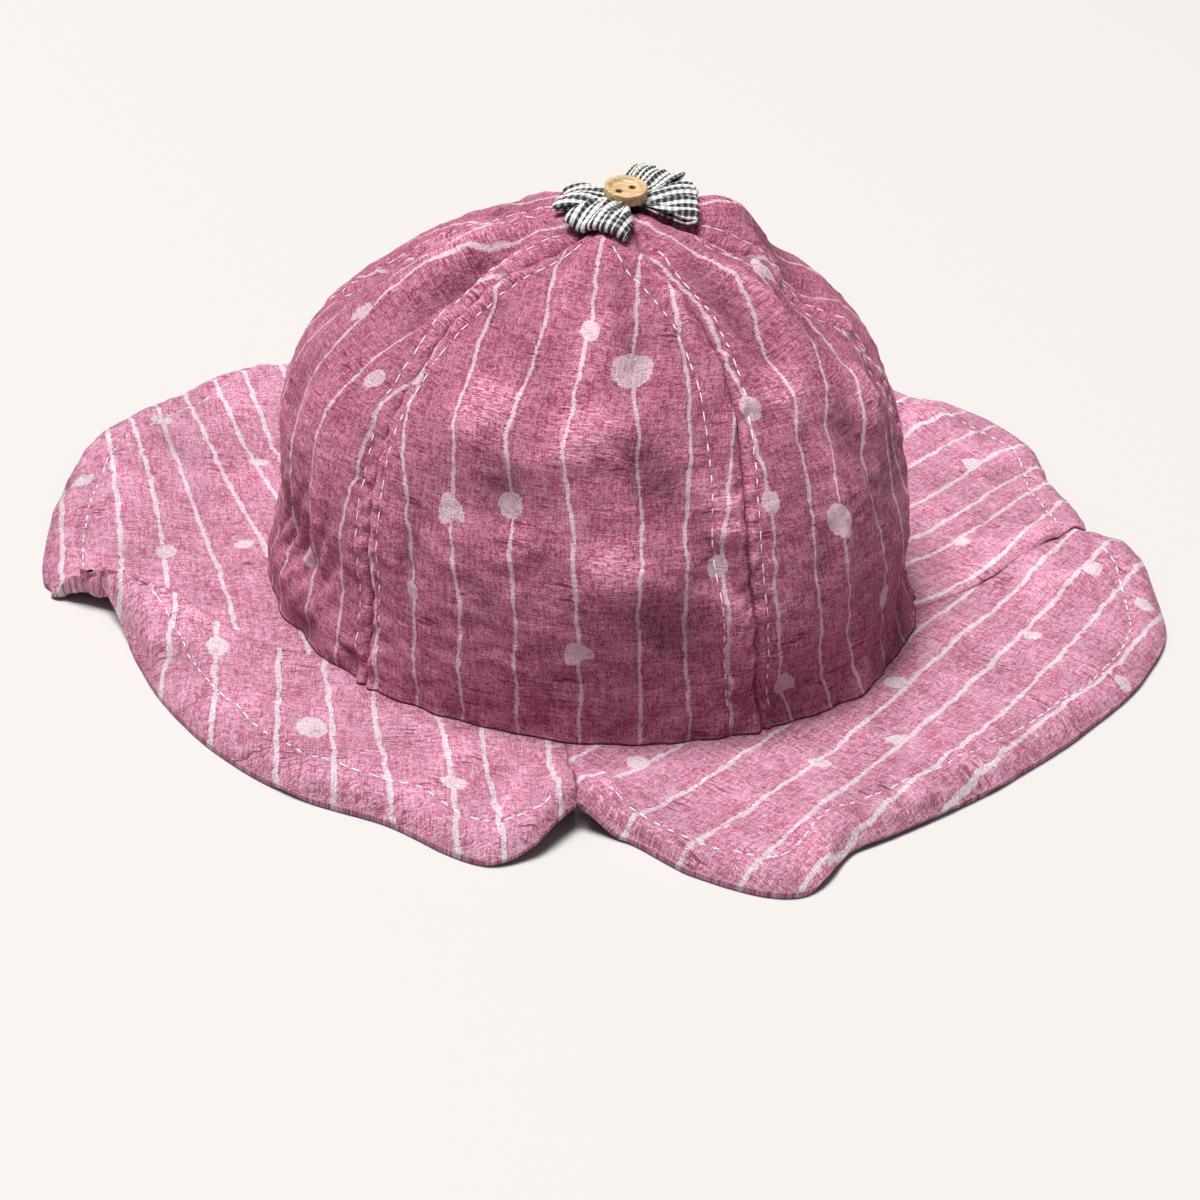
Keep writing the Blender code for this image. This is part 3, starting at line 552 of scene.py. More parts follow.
def panel_shape(index):
    name = PANEL_NAMES[index]
    lines = {0: FRONT_STRIPES, 1: RIGHT_STRIPES}.get(index, PLAIN_STRIPES + (index - 3) * 1.5)

    def shape(a, b):
        hem, foot_hem = 3.0 / PANEL_COLUMNS, 3.0 / PANEL_ROWS
        even = np.clip((a - hem) / (1.0 - 2.0 * hem), 0.0, 1.0)
        share = 0.55 * even + 0.225 * (1.0 - np.cos(math.pi * even))
        turn = np.maximum(np.maximum(hem - a, a - (1.0 - hem)), 0.0) / hem
        down = np.clip(b / (1.0 - foot_hem), 0.0, 1.0)
        run = TIP_RUN + (1.0 - TIP_RUN) * down ** 0.94
        under = np.maximum(b - (1.0 - foot_hem), 0.0) / foot_hem
        spot, way, across, along, wide, fold = panel_cloth(index, share, run)
        spot = spot - way * (turn * np.minimum(3.0, 0.25 * wide))[:, None]
        inward = -(spot[:, :2] - AXIS)
        inward /= np.linalg.norm(inward, axis=1, keepdims=True) + 1e-9
        spot[:, :2] += inward * (3.0 * under)[:, None]
        low = smooth(0.97, 1.0, run)
        spot[:, 2] = spot[:, 2] * (1.0 - low) + (BRIM_TOP + 0.12 + 0.3 * (spot[:, 2] - CROWN_FOOT)) * low
        spot[:, 2] = np.maximum(spot[:, 2], BRIM_TOP + 0.08)
        number, gap = stripe_number(PANEL_STATIONS, lines, run, across)
        motifs = [(x, float(run_length(index, y)), w, t, kind)
                  for x, y, w, t, kind in PANEL_MOTIFS[name]]
        marks = {"stripe": number, "gap": gap, "motif": motif_depth(across, -along, [
            (x, -y, w, t, kind) for x, y, w, t, kind in motifs]),
            "seam": np.minimum(np.minimum(share, 1.0 - share) * wide, (1.0 - run) * 110.0), "fold": fold}
        weave = np.stack([across, along], -1) / 10.0
        th = math.radians(float(seam_angle(index, 0.6) + seam_angle(index + 1, 0.6)) / 2)
        return spot, weave, marks, (math.sin(th), -math.cos(th), 0.5)
    return shape


# The six crown panels, each hiding the node of the frame that it replaces.
crown_panels = []
for k, name in enumerate(PANEL_NAMES):
    panel, cut = make_sheet("cloth_" + name, PANEL_COLUMNS, PANEL_ROWS, panel_shape(k), 0.95)
    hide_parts(name)
    crown_panels.append(panel)

# %% [markdown]
# Brim petals. Each is two layers of the same cotton, turned at the edge and topstitched about 9 mm
# inside it. Near the crown a petal lies flat on the table, and outward it rises, waves and curls.
# The band between the topstitching and the edge is stiffer and puckers in short ripples.

# %% Fine relief of the brim
PETAL_NAMES = ("brim_petal_front_left", "brim_petal_front_right", "brim_petal_back_right",
               "brim_petal_back_left")
HEM = 9.0
# Small folds of the brim: outer angle, share, half-width in mm, half-length in share, rise in mm.
BRIM_FOLDS = (
    (-70, 0.60, 5.0, 0.40, 1.2), (-60, 0.75, 5.0, 0.30, -0.8), (-46, 0.80, 6.0, 0.28, 1.0),
    (-33, 0.82, 5.0, 0.26, -0.8), (-18, 0.80, 6.0, 0.30, 1.1), (-7, 0.55, 4.5, 0.45, 1.6),
    (5, 0.60, 4.5, 0.42, 1.4), (14, 0.80, 6.0, 0.28, -0.7), (25, 0.80, 6.0, 0.28, 1.0),
    (38, 0.84, 6.0, 0.24, -0.8), (50, 0.80, 6.0, 0.28, 0.9), (70, 0.80, 7.0, 0.26, 0.8),
    (84, 0.82, 6.0, 0.24, -0.7), (99, 0.65, 5.0, 0.40, 1.4), (109, 0.60, 5.0, 0.42, 1.3),
    (124, 0.78, 7.0, 0.30, -0.9), (139, 0.80, 6.0, 0.30, 1.2), (152, 0.78, 7.0, 0.30, 0.9),
    (170, 0.78, 7.0, 0.30, -0.8), (200, 0.78, 7.0, 0.30, 0.9), (216, 0.80, 7.0, 0.28, -0.9),
    (234, 0.78, 7.0, 0.30, 1.1), (246, 0.70, 6.0, 0.34, -0.9), (257, 0.76, 6.0, 0.30, 1.2),
    (270, 0.72, 6.0, 0.32, -0.8), (279, 0.60, 5.0, 0.40, 1.2),
)


def petal_cloth(index, across_share, share, full=True):
    """Spot on the finished upper face of a petal, its direction and distances in mm."""
    low, high = PETAL_SEAMS[index, 1], PETAL_SEAMS[index + 1, 1]
    outer = low + (high - low) * across_share
    spot = brim_spot(outer, share)
    along = brim_spot(outer, np.minimum(share + 0.02, 1.0)) - brim_spot(outer, np.maximum(share - 0.02, 0.0))
    over = brim_spot(outer + 0.8, share) - brim_spot(outer - 0.8, share)
    way = np.cross(over, along)
    way /= np.linalg.norm(way, axis=1, keepdims=True) + 1e-9
    way *= np.sign(way[:, 2:3])
    reach = CROWN_RADIUS + BRIM_REACH * around(1, outer)
    start, _ = section(outer, np.ones_like(outer))
    from_edge = (1.0 - share) * (reach - start)
    radius = np.hypot(spot[:, 0], spot[:, 1])
    side = np.minimum(across_share, 1.0 - across_share) * np.radians(high - low) * radius
    out = np.zeros_like(share)
    for at, at_share, half, half_share, rise in BRIM_FOLDS:
        away = np.radians(wrap(outer - at)) * radius
        out += rise * bump(away, half) * bump(share - at_share, half_share)
    out *= smooth(0.1, 0.4, share)
    out -= 0.5 * np.exp(-((from_edge - HEM) / 1.0) ** 2)
    out -= 0.7 * (1.0 - smooth(0.0, 1.8, side))
    out -= 1.5 * (1.0 - smooth(0.0, 4.5, from_edge)) ** 2
    out -= 0.6 * np.exp(-(np.maximum(share, 0.0) * (reach - start) / 2.5) ** 2)
    if full:
        beat = np.stack([np.radians(outer) * radius, from_edge * 0.3, np.zeros_like(share)], -1)
        out += 0.45 * cloth_noise(beat, 6.5, 21) * np.exp(-((from_edge - 4.5) / 5.5) ** 2)
        uneven = cloth_noise(beat, 9.0, 22)
        ripple = np.cos(2.0 * math.pi * (np.radians(outer) * radius + 0.7 * from_edge) / 4.2 + 3.0 * uneven)
        out += 0.18 * ripple * (1.0 + uneven) * np.exp(-((from_edge - 4.5) / 3.2) ** 2)
        beat = np.stack([radius, side * 0.5, np.full_like(share, index * 9.0)], -1)
        out += 0.5 * cloth_noise(beat, 6.0, 23) * np.exp(-(side / 5.0) ** 2) * smooth(0.0, 0.1, share)
        out += (0.65 * cloth_noise(spot, 15.0, 24) + 0.26 * cloth_noise(spot, 5.0, 25)
                + 0.13 * cloth_noise(spot, 2.4, 26)) * smooth(-0.02, 0.2, share)
    out *= smooth(0.25, 0.8, way[:, 2])
    spot = spot + way * out[:, None]
    spot[:, 2] = np.maximum(spot[:, 2], 1.4 + (BRIM_TOP - 1.55) * smooth(0.0, 5.0, from_edge))
    spot[:, :2] += AXIS
    return spot, way, from_edge, side, out


print("small folds of the brim:", len(BRIM_FOLDS))


# %% Brim petals
def petal_shape(index):
    name = PETAL_NAMES[index]
    turn, lines = PETAL_STRIPES[name]

    def shape(a, b):
        share = np.where(b < 0.06, -1.0 + b / 0.06, (b - 0.06) / 0.94)
        spot, way, from_edge, side, fold = petal_cloth(index, 0.0004 + 0.9992 * a, share)
        plan = spot[:, :2] - AXIS
        th = math.radians(turn)
        station = plan @ np.array([math.cos(th), math.sin(th)])
        offset = plan @ np.array([math.sin(th), -math.cos(th)])
        number, gap = stripe_number(PETAL_STATIONS, lines, station, offset)
        motifs = [((x * math.sin(th) - y * math.cos(th)), (x * math.cos(th) + y * math.sin(th)), w, t, kind)
                  for x, y, t, w, kind in PETAL_MOTIFS[name]]
        marks = {"stripe": number, "gap": gap, "motif": motif_depth(offset, station, motifs),
                 "seam": side, "fold": fold}
        return spot, np.stack([offset, station], -1) / 10.0, marks, (0.0, 0.0, 1.0)
    return shape


PETAL_COLUMNS = (130, 190, 150, 190)
brim_petals = []
for k, name in enumerate(PETAL_NAMES):
    petal, cut = make_sheet("cloth_" + name, PETAL_COLUMNS[k], 56, petal_shape(k), 1.3)
    soft_edge(petal, 0.5)
    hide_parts(name)
    brim_petals.append(petal)

# %% [markdown]
# The bow. Each of its four loops is a short length of ribbon, taken out from the middle, folded
# and brought back below. The middle is gathered under the button, so the ribbon is pleated there
# and fans out toward its fold. A grid whose rows follow the path of the ribbon gives all of that.

# %% Bow loops
# Heading, reach in mm, puff, half-width for each millimetre of the way, rise of the far end in mm
# and half-width of the ribbon at the far end. The second name is the panel that the loop lies on.
LOOPS = (
    ("bow_loop_left", "crown_panel_front_left", -95.0, 14.8, 0.9, 0.86, 0.6, 7.4),
    ("bow_loop_front", "crown_panel_front", -25.0, 14.6, 0.8, 0.94, 0.0, 7.8),
    ("bow_loop_right", "crown_panel_back_right", 102.0, 15.8, 1.1, 0.84, 1.6, 7.0),
    ("bow_loop_back", "crown_panel_back", 154.0, 16.6, 1.3, 0.80, 4.6, 6.4),
)
LOOP_START = 2.6
RING_ANGLES = np.arange(-180.0, 181.0, 5.0)
RING_REACH = np.arange(0.0, 26.0, 1.0)
runs = np.linspace(TIP_RUN, 0.5, 60)
field, _ = crown_frame(RING_ANGLES[:, None], runs[None, :])
ring_table = np.array([np.interp(RING_REACH, np.hypot(r[:, 0], r[:, 1]), r[:, 2]) for r in field])


def crown_top_near(x, y):
    """Highest cloth close to a spot of the plan under the bow, from the crown's axis."""
    best = np.full(x.shape, -1e9)
    for dx, dy in ((0.0, 0.0), (1.6, 0.0), (-1.6, 0.0), (0.0, 1.6), (0.0, -1.6)):
        turn = (np.degrees(np.arctan2(x + dx, -(y + dy))) + 180.0) / 5.0
        out = np.clip(np.hypot(x + dx, y + dy), 0.0, 24.9)
        i, j = np.clip(turn.astype(int), 0, 71), out.astype(int)
        u, v = turn - i, out - j
        height = ((1 - u) * ((1 - v) * ring_table[i, j] + v * ring_table[i, j + 1])
                  + u * ((1 - v) * ring_table[i + 1, j] + v * ring_table[i + 1, j + 1]))
        best = np.maximum(best, height)
    return best


def loop_shape(heading, reach, puff, fan, lift, wide):
    def shape(a, b):
        lane = 2.0 * a - 1.0
        phase = math.pi * (1.0 - 2.0 * b)
        out = np.sign(np.cos(phase)) * np.abs(np.cos(phase)) ** 0.7
        upper = np.sign(np.sin(phase)) * np.abs(np.sin(phase)) ** 0.6
        along = LOOP_START + 0.5 * (reach - LOOP_START) * (1.0 + out)
        far = along / reach
        half = wide * np.tanh(fan * along / wide * (0.7 + 0.6 * far))
        th = math.radians(heading)
        ahead, side = np.array([math.sin(th), -math.cos(th)]), np.array([math.cos(th), math.sin(th)])
        pleat = 0.6 * np.cos(5.3 * math.pi * lane + heading) + 0.25 * np.cos(11.0 * math.pi * lane + 2.0 * heading)
        plan = along[:, None] * ahead + (lane * half)[:, None] * side
        uneven = 0.5 * np.sin(2.1 * lane + heading) + 0.3 * pleat
        plan = plan + (uneven * far ** 3)[:, None] * ahead
        floor = crown_top_near(plan[:, 0], plan[:, 1]) + 0.45 + lift * far ** 2
        rise = (1.5 + puff * bump(far - 0.66, 0.5)) * (1.0 - 0.35 * lane ** 6)
        z = floor + 0.35 + 0.5 * rise * (1.0 + upper) + 0.62 * pleat * (0.55 + 0.45 * upper) * (1.1 - 0.5 * far)
        spot = np.stack([plan[:, 0] + AXIS[0], plan[:, 1] + AXIS[1], z], -1)
        length = np.where(b < 0.5, far, 2.0 - far) * reach
        weave = np.stack([lane * (0.55 * half + 3.4), length], -1) / 10.0
        return spot, weave, {"seam": (1.0 - np.abs(lane)) * half}, (0.0, 0.0, 1.0)
    return shape


bow = []
for name, below, heading, reach, puff, fan, lift, wide in LOOPS:
    shape = loop_shape(heading, reach, puff, fan, lift, wide)
    loop, cut = make_sheet("ribbon_" + name, 64, 72, shape, 0.45)
    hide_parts(name)
    bow.append(loop)

# %% [markdown]
# The button is turned wood, so its outline is spun round its axis, like on a lathe. Two thread
# holes are drilled with cutters. Its edges are eased a little, as a tumbled button's are.

# %% Button
BUTTON_RADIUS = 4.8
BUTTON_HEIGHT = 3.0
BUTTON_TILT = 10.0
outline = ((0.0, 0.0), (4.2, 0.0), (4.6, 0.3), (4.8, 0.9), (4.8, 2.75), (4.72, 2.93), (4.55, 3.0),
           (4.05, 3.0), (3.85, 2.92), (3.5, 2.45), (3.2, 2.25), (2.7, 2.15), (0.0, 2.1))
bm = bmesh.new()
rim = [bm.verts.new((r * MM, 0.0, z * MM)) for r, z in outline]
edges = [bm.edges.new(pair) for pair in zip(rim[:-1], rim[1:])]
bmesh.ops.spin(bm, geom=rim + edges, cent=(0, 0, 0), axis=(0, 0, 1), angle=2.0 * math.pi, steps=96,
               use_merge=True, use_duplicate=False)
bmesh.ops.remove_doubles(bm, verts=bm.verts, dist=1e-6)
bmesh.ops.recalc_face_normals(bm, faces=bm.faces)
mesh = bpy.data.meshes.new("turned_button")
bm.to_mesh(mesh)
bm.free()
button = bpy.data.objects.new("turned_button", mesh)
bpy.context.scene.collection.objects.link(button)
line = math.radians(36.0)
holes = []
for side in (-1.75, 1.75):
    cutter_mesh = bpy.data.meshes.new("hole")
    bm = bmesh.new()
    holes.append((side * math.cos(line) * MM, side * math.sin(line) * MM))
    place = Matrix.Translation((*holes[-1], 1.5 * MM))
    bmesh.ops.create_cone(bm, cap_ends=True, segments=32, radius1=0.8 * MM, radius2=0.8 * MM,
                          depth=8.0 * MM, matrix=place)
    bm.to_mesh(cutter_mesh)
    bm.free()
    cutter = bpy.data.objects.new("hole", cutter_mesh)
    bpy.context.scene.collection.objects.link(cutter)
    drill = button.modifiers.new("drill", "BOOLEAN")
    drill.operation = "DIFFERENCE"
    drill.solver = "EXACT"
    drill.object = cutter
    bpy.context.view_layer.objects.active = button
    bpy.ops.object.modifier_apply(modifier=drill.name)
    bpy.data.objects.remove(cutter, do_unlink=True)
# The walls of the thread holes take the second finish, a painted shade.
for face in button.data.polygons:
    near = min(math.hypot(face.center.x - x, face.center.y - y) for x, y in holes)
    face.material_index = int(near < 0.82 * MM and abs(face.normal.z) < 0.5)
low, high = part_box("button")
tilt = Matrix.Rotation(math.radians(BUTTON_TILT), 4, "X")
button.data.transform(tilt)
spots = np.array([v.co for v in button.data.vertices])
here = 0.5 * (spots.min(0) + spots.max(0))
there = 0.5 * (np.array(low) + np.array(high))
button.data.transform(Matrix.Translation(there - here))
button.data.shade_smooth()
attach(button, "root")
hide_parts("button")
print("button", len(button.data.polygons), "faces")

# %% [markdown]
# Topstitching is real thread lying on the cloth. Each stitch is one small rounded bead of thread,
# longer than it is thick, whose ends sink into the cloth. Beads placed along a line are lighter
# than a curve for every row, and they catch the light one by one as the real stitches do.

# %% Stitches
STITCH = 2.5
STITCH_STEP = 3.6
THREAD = 0.16


def sew(name, rows):
    """One piece with a bead of thread for each step along each row of spots and directions."""
    bead = bpy.data.meshes.new("bead")
    bm = bmesh.new()
    bmesh.ops.create_uvsphere(bm, u_segments=8, v_segments=5, radius=1.0,
                              matrix=Matrix.Rotation(math.radians(-90.0), 4, "X"))
    bm.to_mesh(bead)
    bm.free()
    bm = bmesh.new()
    count = 0
    for line, ways in rows:
        lengths = np.concatenate([[0.0], np.cumsum(np.linalg.norm(np.diff(line, axis=0), axis=1))])
        for start in np.arange(0.6, lengths[-1] - STITCH, STITCH_STEP):
            start += 0.4 * math.sin(2.7 * start)
            ends = [np.array([np.interp(t, lengths, line[:, k]) for k in range(3)])
                    for t in (start, start + STITCH * (0.85 + 0.2 * math.sin(1.9 * start)))]
            up = np.array([np.interp(start + 0.5 * STITCH, lengths, ways[:, k]) for k in range(3)])
            ahead = ends[1] - ends[0]
            ahead /= np.linalg.norm(ahead)
            up -= ahead * (up @ ahead)
            up /= np.linalg.norm(up)
            side = np.cross(up, ahead)
            mid = 0.5 * (ends[0] + ends[1]) + 0.08 * up
            turn = Matrix(np.stack([side * THREAD, ahead * 0.5 * STITCH * (0.85 + 0.2 * math.sin(1.9 * start)), up * THREAD], 1).tolist())
            place = Matrix.Translation(Vector(mid * MM)) @ (turn * MM).to_4x4()
            bead.transform(place)
            bm.from_mesh(bead)
            bead.transform(place.inverted())
            count += 1
    bmesh.ops.recalc_face_normals(bm, faces=bm.faces)
    mesh = bpy.data.meshes.new(name)
    bm.to_mesh(mesh)
    bm.free()
    mesh.shade_smooth()
    piece = bpy.data.objects.new(name, mesh)
    bpy.context.scene.collection.objects.link(piece)
    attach(piece, "root")
    print(name, count, "stitches")
    return piece


crown_rows = []
for seam in range(6):
    for side in (0, 1):
        index = (seam + 5) % 6 if side == 0 else seam
        runs = np.linspace(0.13, 0.985, 220)
        row = STITCH_SIDES[seam][side] * smooth(0.0, 0.3, runs + 0.12)
        radius, _ = section(seam_angle(seam, runs), runs)
        wide = np.radians(seam_angle(index + 1, runs) - seam_angle(index, runs)) * radius
        share = row / wide if side == 1 else 1.0 - row / wide
        spot, way, *_ = panel_cloth(index, share, runs)
        crown_rows.append((spot, way))
crown_stitches = sew("crown_topstitching", crown_rows)
brim_rows = []
for index in range(4):
    across = np.linspace(0.03, 0.97, 420)
    low, high = PETAL_SEAMS[index, 1], PETAL_SEAMS[index + 1, 1]
    outer = low + (high - low) * across
    start, _ = section(outer, np.ones_like(outer))
    share = 1.0 - HEM / (CROWN_RADIUS + BRIM_REACH * around(1, outer) - start)
    spot, way, *_ = petal_cloth(index, across, share)
    brim_rows.append((spot, way))
brim_stitches = sew("brim_topstitching", brim_rows)

# %% [markdown]
# Finishes. The cotton is woven from uneven threads of pale and deep pink, so its colour is a mix
# of two sets of streaks that cross, with a few thicker slubs. Both read the cloth's own map, so
# they follow the cut of each piece. The print is drawn from the stripe numbers and motif depths.
# Shade in fold valleys, crinkle hollows and seam grooves and highlights on fold crests are painted into the colour.

# %% Material helpers
class Finish:
    """A node material with short calls for the nodes that the cloth needs."""

    def __init__(self, name, roughness):
        self.material = bpy.data.materials.new(name)
        self.material.use_nodes = True
        self.tree = self.material.node_tree
        self.shader = self.tree.nodes["Principled BSDF"]
        self.shader.inputs["Roughness"].default_value = roughness

    def node(self, kind, **settings):
        made = self.tree.nodes.new(kind)
        for key, value in settings.items():
            setattr(made, key, value)
        return made

    def plug(self, socket, value):
        if isinstance(value, (int, float, tuple)):
            socket.default_value = value
        else:
            self.tree.links.new(value, socket)

    def math(self, operation, *values):
        made = self.node("ShaderNodeMath", operation=operation)
        for socket, value in zip(made.inputs, values):
            self.plug(socket, value)
        return made.outputs[0]

    def ramp(self, value, low, high, start=0.0, end=1.0):
        made = self.node("ShaderNodeMapRange", interpolation_type="SMOOTHSTEP")
        for socket, given in zip(made.inputs, (value, low, high, start, end)):
            self.plug(socket, given)
        return made.outputs[0]

    def mix(self, share, first, second):
        made = self.node("ShaderNodeMix", data_type="RGBA")
        self.plug(made.inputs[0], share)
        self.plug(made.inputs[6], first)
        self.plug(made.inputs[7], second)
        return made.outputs[2]

    def marks(self, name):
        return self.node("ShaderNodeAttribute", attribute_name=name).outputs["Fac"]

    def spots(self, source, scale, turn=0.0):
        made = self.node("ShaderNodeMapping")
        self.plug(made.inputs["Vector"], source)
        made.inputs["Scale"].default_value = scale
        made.inputs["Rotation"].default_value = (0.0, 0.0, turn)
        return made.outputs[0]

    def noise(self, vector, scale, detail=2.0, rough=0.5, twist=0.0):
        made = self.node("ShaderNodeTexNoise")
        self.plug(made.inputs["Vector"], vector)
        made.inputs["Scale"].default_value = scale
        made.inputs["Detail"].default_value = detail
        made.inputs["Roughness"].default_value = rough
        made.inputs["Distortion"].default_value = twist
        return made.outputs[0]

    def bump(self, height, strength, distance):
        made = self.node("ShaderNodeBump")
        made.inputs["Strength"].default_value = strength
        made.inputs["Distance"].default_value = distance
        self.plug(made.inputs["Height"], height)
        self.tree.links.new(made.outputs[0], self.shader.inputs["Normal"])


# %% Cotton
def make_cotton(name, deep, pale, print_colour, line):
    """Cotton with its printed lines, whose half-width in mm is given."""
    cloth = Finish(name, 0.9)
    flat = cloth.node("ShaderNodeUVMap", uv_map="cloth").outputs[0]
    warp = cloth.noise(cloth.spots(flat, (30.0, 5.0, 1.0)), 1.0, 2.0, 0.6, 0.8)
    weft = cloth.noise(cloth.spots(flat, (5.0, 30.0, 1.0)), 1.0, 2.0, 0.6, 0.8)
    slub_up = cloth.noise(cloth.spots(flat, (11.0, 1.1, 1.0)), 1.0, 1.0)
    slub_over = cloth.noise(cloth.spots(flat, (1.1, 11.0, 1.0)), 1.0, 1.0)
    patch = cloth.noise(flat, 0.9, 2.0)
    crinkle = cloth.noise(flat, 14.0, 3.0, 0.75, 2.0)
    threads = cloth.math("ADD", warp, weft)
    threads = cloth.math("ADD", threads, cloth.math("MULTIPLY", cloth.math("ADD", slub_up, slub_over), 0.40))
    threads = cloth.math("ADD", threads, cloth.math("MULTIPLY", patch, 0.40))
    tone = cloth.ramp(cloth.math("ADD", threads, cloth.math("MULTIPLY", crinkle, 0.9)), 1.78, 2.32)
    ground = cloth.mix(tone, deep, pale)
    for turn, shades in ((0.0, tuple(1.0 - 0.62 * (1.0 - c) for c in pale[:3])), (1.3, tuple(0.62 * c for c in deep[:3]))):
        curl = cloth.noise(cloth.spots(flat, (6.5, 12.5, 1.0), turn), 1.0, 1.5, 0.6, 1.2)
        curl = cloth.math("ABSOLUTE", cloth.math("SUBTRACT", curl, 0.5))
        ground = cloth.mix(cloth.ramp(curl, 0.004, 0.032, 0.55, 0.0), ground, shades + (1.0,))
    # Painted highlight: where the cloth bulges out, streaks of the weft are lightened toward pale pink, as if the
    # crests caught the light.
    crest = cloth.math("MULTIPLY", cloth.ramp(cloth.marks("fold"), 0.2, 1.8), cloth.ramp(weft, 0.50, 0.64))
    ground = cloth.mix(cloth.math("MULTIPLY", crest, 0.55), ground, (0.92, 0.60, 0.72, 1.0))
    snagged = cloth.ramp(cloth.noise(flat, 0.75, 1.0), 0.56, 0.64)
    snag = cloth.ramp(cloth.noise(cloth.spots(flat, (2.0, 13.0, 1.0)), 1.0, 1.0), 0.57, 0.66)
    snag = cloth.math("MULTIPLY", snagged, snag)
    ground = cloth.mix(cloth.math("MULTIPLY", snag, 0.8), ground, tuple(c * 0.62 for c in deep[:3]) + (1.0,))
    number, gap = cloth.marks("stripe"), cloth.marks("gap")
    sway = cloth.math("SUBTRACT", cloth.noise(cloth.spots(flat, (0.3, 1.3, 1.0)), 1.0, 2.0), 0.5)
    number = cloth.math("ADD", number, cloth.math("DIVIDE", cloth.math("MULTIPLY", sway, 2.2), gap))
    away = cloth.math("MULTIPLY", cloth.math("PINGPONG", number, 0.5), gap)
    waver = cloth.noise(cloth.spots(flat, (0.6, 2.2, 1.0)), 1.0, 1.0)
    half = cloth.math("MULTIPLY", cloth.math("ADD", waver, 0.45), line * 1.05)
    inside = cloth.math("MAXIMUM", cloth.math("SUBTRACT", half, away), cloth.marks("motif"))
    loose = cloth.math("SUBTRACT", cloth.math("ADD", threads, crinkle), 2.1)
    ragged = cloth.math("ADD", inside, cloth.math("MULTIPLY", loose, 0.55))
    cover = cloth.math("MULTIPLY", cloth.ramp(ragged, -0.12, 0.16), cloth.ramp(loose, -0.40, 0.05, 0.30, 0.96))
    colour = cloth.mix(cover, ground, print_colour)
    # Painted shade: the colour darkens toward deep pink along the seam grooves and where the crown meets the brim.
    painted_seam_shade = cloth.ramp(cloth.marks("seam"), 0.0, 0.9, 0.65, 1.0)
    colour = cloth.mix(painted_seam_shade, tuple(c * 0.45 for c in deep[:3]) + (1.0,), colour)
    # Painted shade and light: the colour is darkened in fold valleys and crinkle hollows and lightened on fold
    # ridges.
    depth = cloth.math("ADD", cloth.marks("fold"), cloth.math("MULTIPLY", cloth.math("SUBTRACT", crinkle, 0.5), 1.2))
    painted_fold_shade = cloth.node("ShaderNodeVectorMath", operation="SCALE")
    cloth.plug(painted_fold_shade.inputs[0], colour)
    cloth.plug(painted_fold_shade.inputs["Scale"], cloth.ramp(depth, -2.4, 2.4, 0.70, 1.33))
    cloth.tree.links.new(painted_fold_shade.outputs[0], cloth.shader.inputs["Base Color"])
    cloth.shader.inputs["Specular IOR Level"].default_value = 0.2
    relief = cloth.math("ADD", cloth.math("MULTIPLY", threads, 0.5), cloth.math("MULTIPLY", crinkle, 1.5))
    relief = cloth.math("SUBTRACT", relief, cloth.math("MULTIPLY", snag, 0.5))
    cloth.bump(relief, 0.9, 0.0008)
    return cloth.material


# The crown is the same cotton as the brim; its darker colours are painted shade for the crown's walls.
shade_painted_crown_cotton = make_cotton("shade_painted_crown_cotton", (0.365, 0.052, 0.119, 1.0), (0.77, 0.285, 0.445, 1.0), (0.90, 0.66, 0.74, 1.0), 0.43)
brim_cotton = make_cotton("brim_cotton", (0.53, 0.115, 0.235, 1.0), (0.98, 0.52, 0.73, 1.0), (0.97, 0.82, 0.88, 1.0), 0.60)
for panel in crown_panels:
    panel.data.materials.append(shade_painted_crown_cotton)
for petal in brim_petals:
    petal.data.materials.append(brim_cotton)
print("cotton nodes:", len(shade_painted_crown_cotton.node_tree.nodes))

# %% Checked ribbon
check = Finish("checked_ribbon", 0.75)
flat = check.node("ShaderNodeUVMap", uv_map="cloth").outputs[0]
split = check.node("ShaderNodeSeparateXYZ")
check.plug(split.inputs[0], flat)
bars = [check.ramp(check.math("PINGPONG", check.math("ADD", split.outputs[k], 5.0), 0.074), 0.032, 0.040)
        for k in (0, 1)]
dark = check.math("ADD", check.math("MULTIPLY", bars[0], 0.62), check.math("MULTIPLY", bars[1], 0.42))
grain = check.noise(check.spots(flat, (40.0, 40.0, 1.0)), 1.0, 1.0)
mixed = check.math("ADD", dark, check.math("MULTIPLY", check.math("SUBTRACT", grain, 0.5), 0.35))
check.tree.links.new(check.mix(check.ramp(mixed, 0.16, 0.80), (0.82, 0.81, 0.80, 1.0), (0.010, 0.009, 0.010, 1.0)),
                     check.shader.inputs["Base Color"])
check.bump(check.math("SUBTRACT", check.math("MULTIPLY", grain, 0.5), dark), 0.8, 0.0004)
for loop in bow:
    loop.data.materials.append(check.material)

# %% Wood and thread
wood = Finish("pale_wood", 0.5)
where = wood.node("ShaderNodeTexCoord").outputs["Object"]
grain = wood.noise(wood.spots(where, (260.0, 2200.0, 900.0), 0.5), 1.0, 3.0, 0.6)
tint = wood.mix(wood.ramp(grain, 0.35, 0.68), (0.37, 0.225, 0.105, 1.0), (0.64, 0.47, 0.275, 1.0))
wood.tree.links.new(tint, wood.shader.inputs["Base Color"])
wood.bump(grain, 0.25, 0.0002)
button.data.materials.append(wood.material)
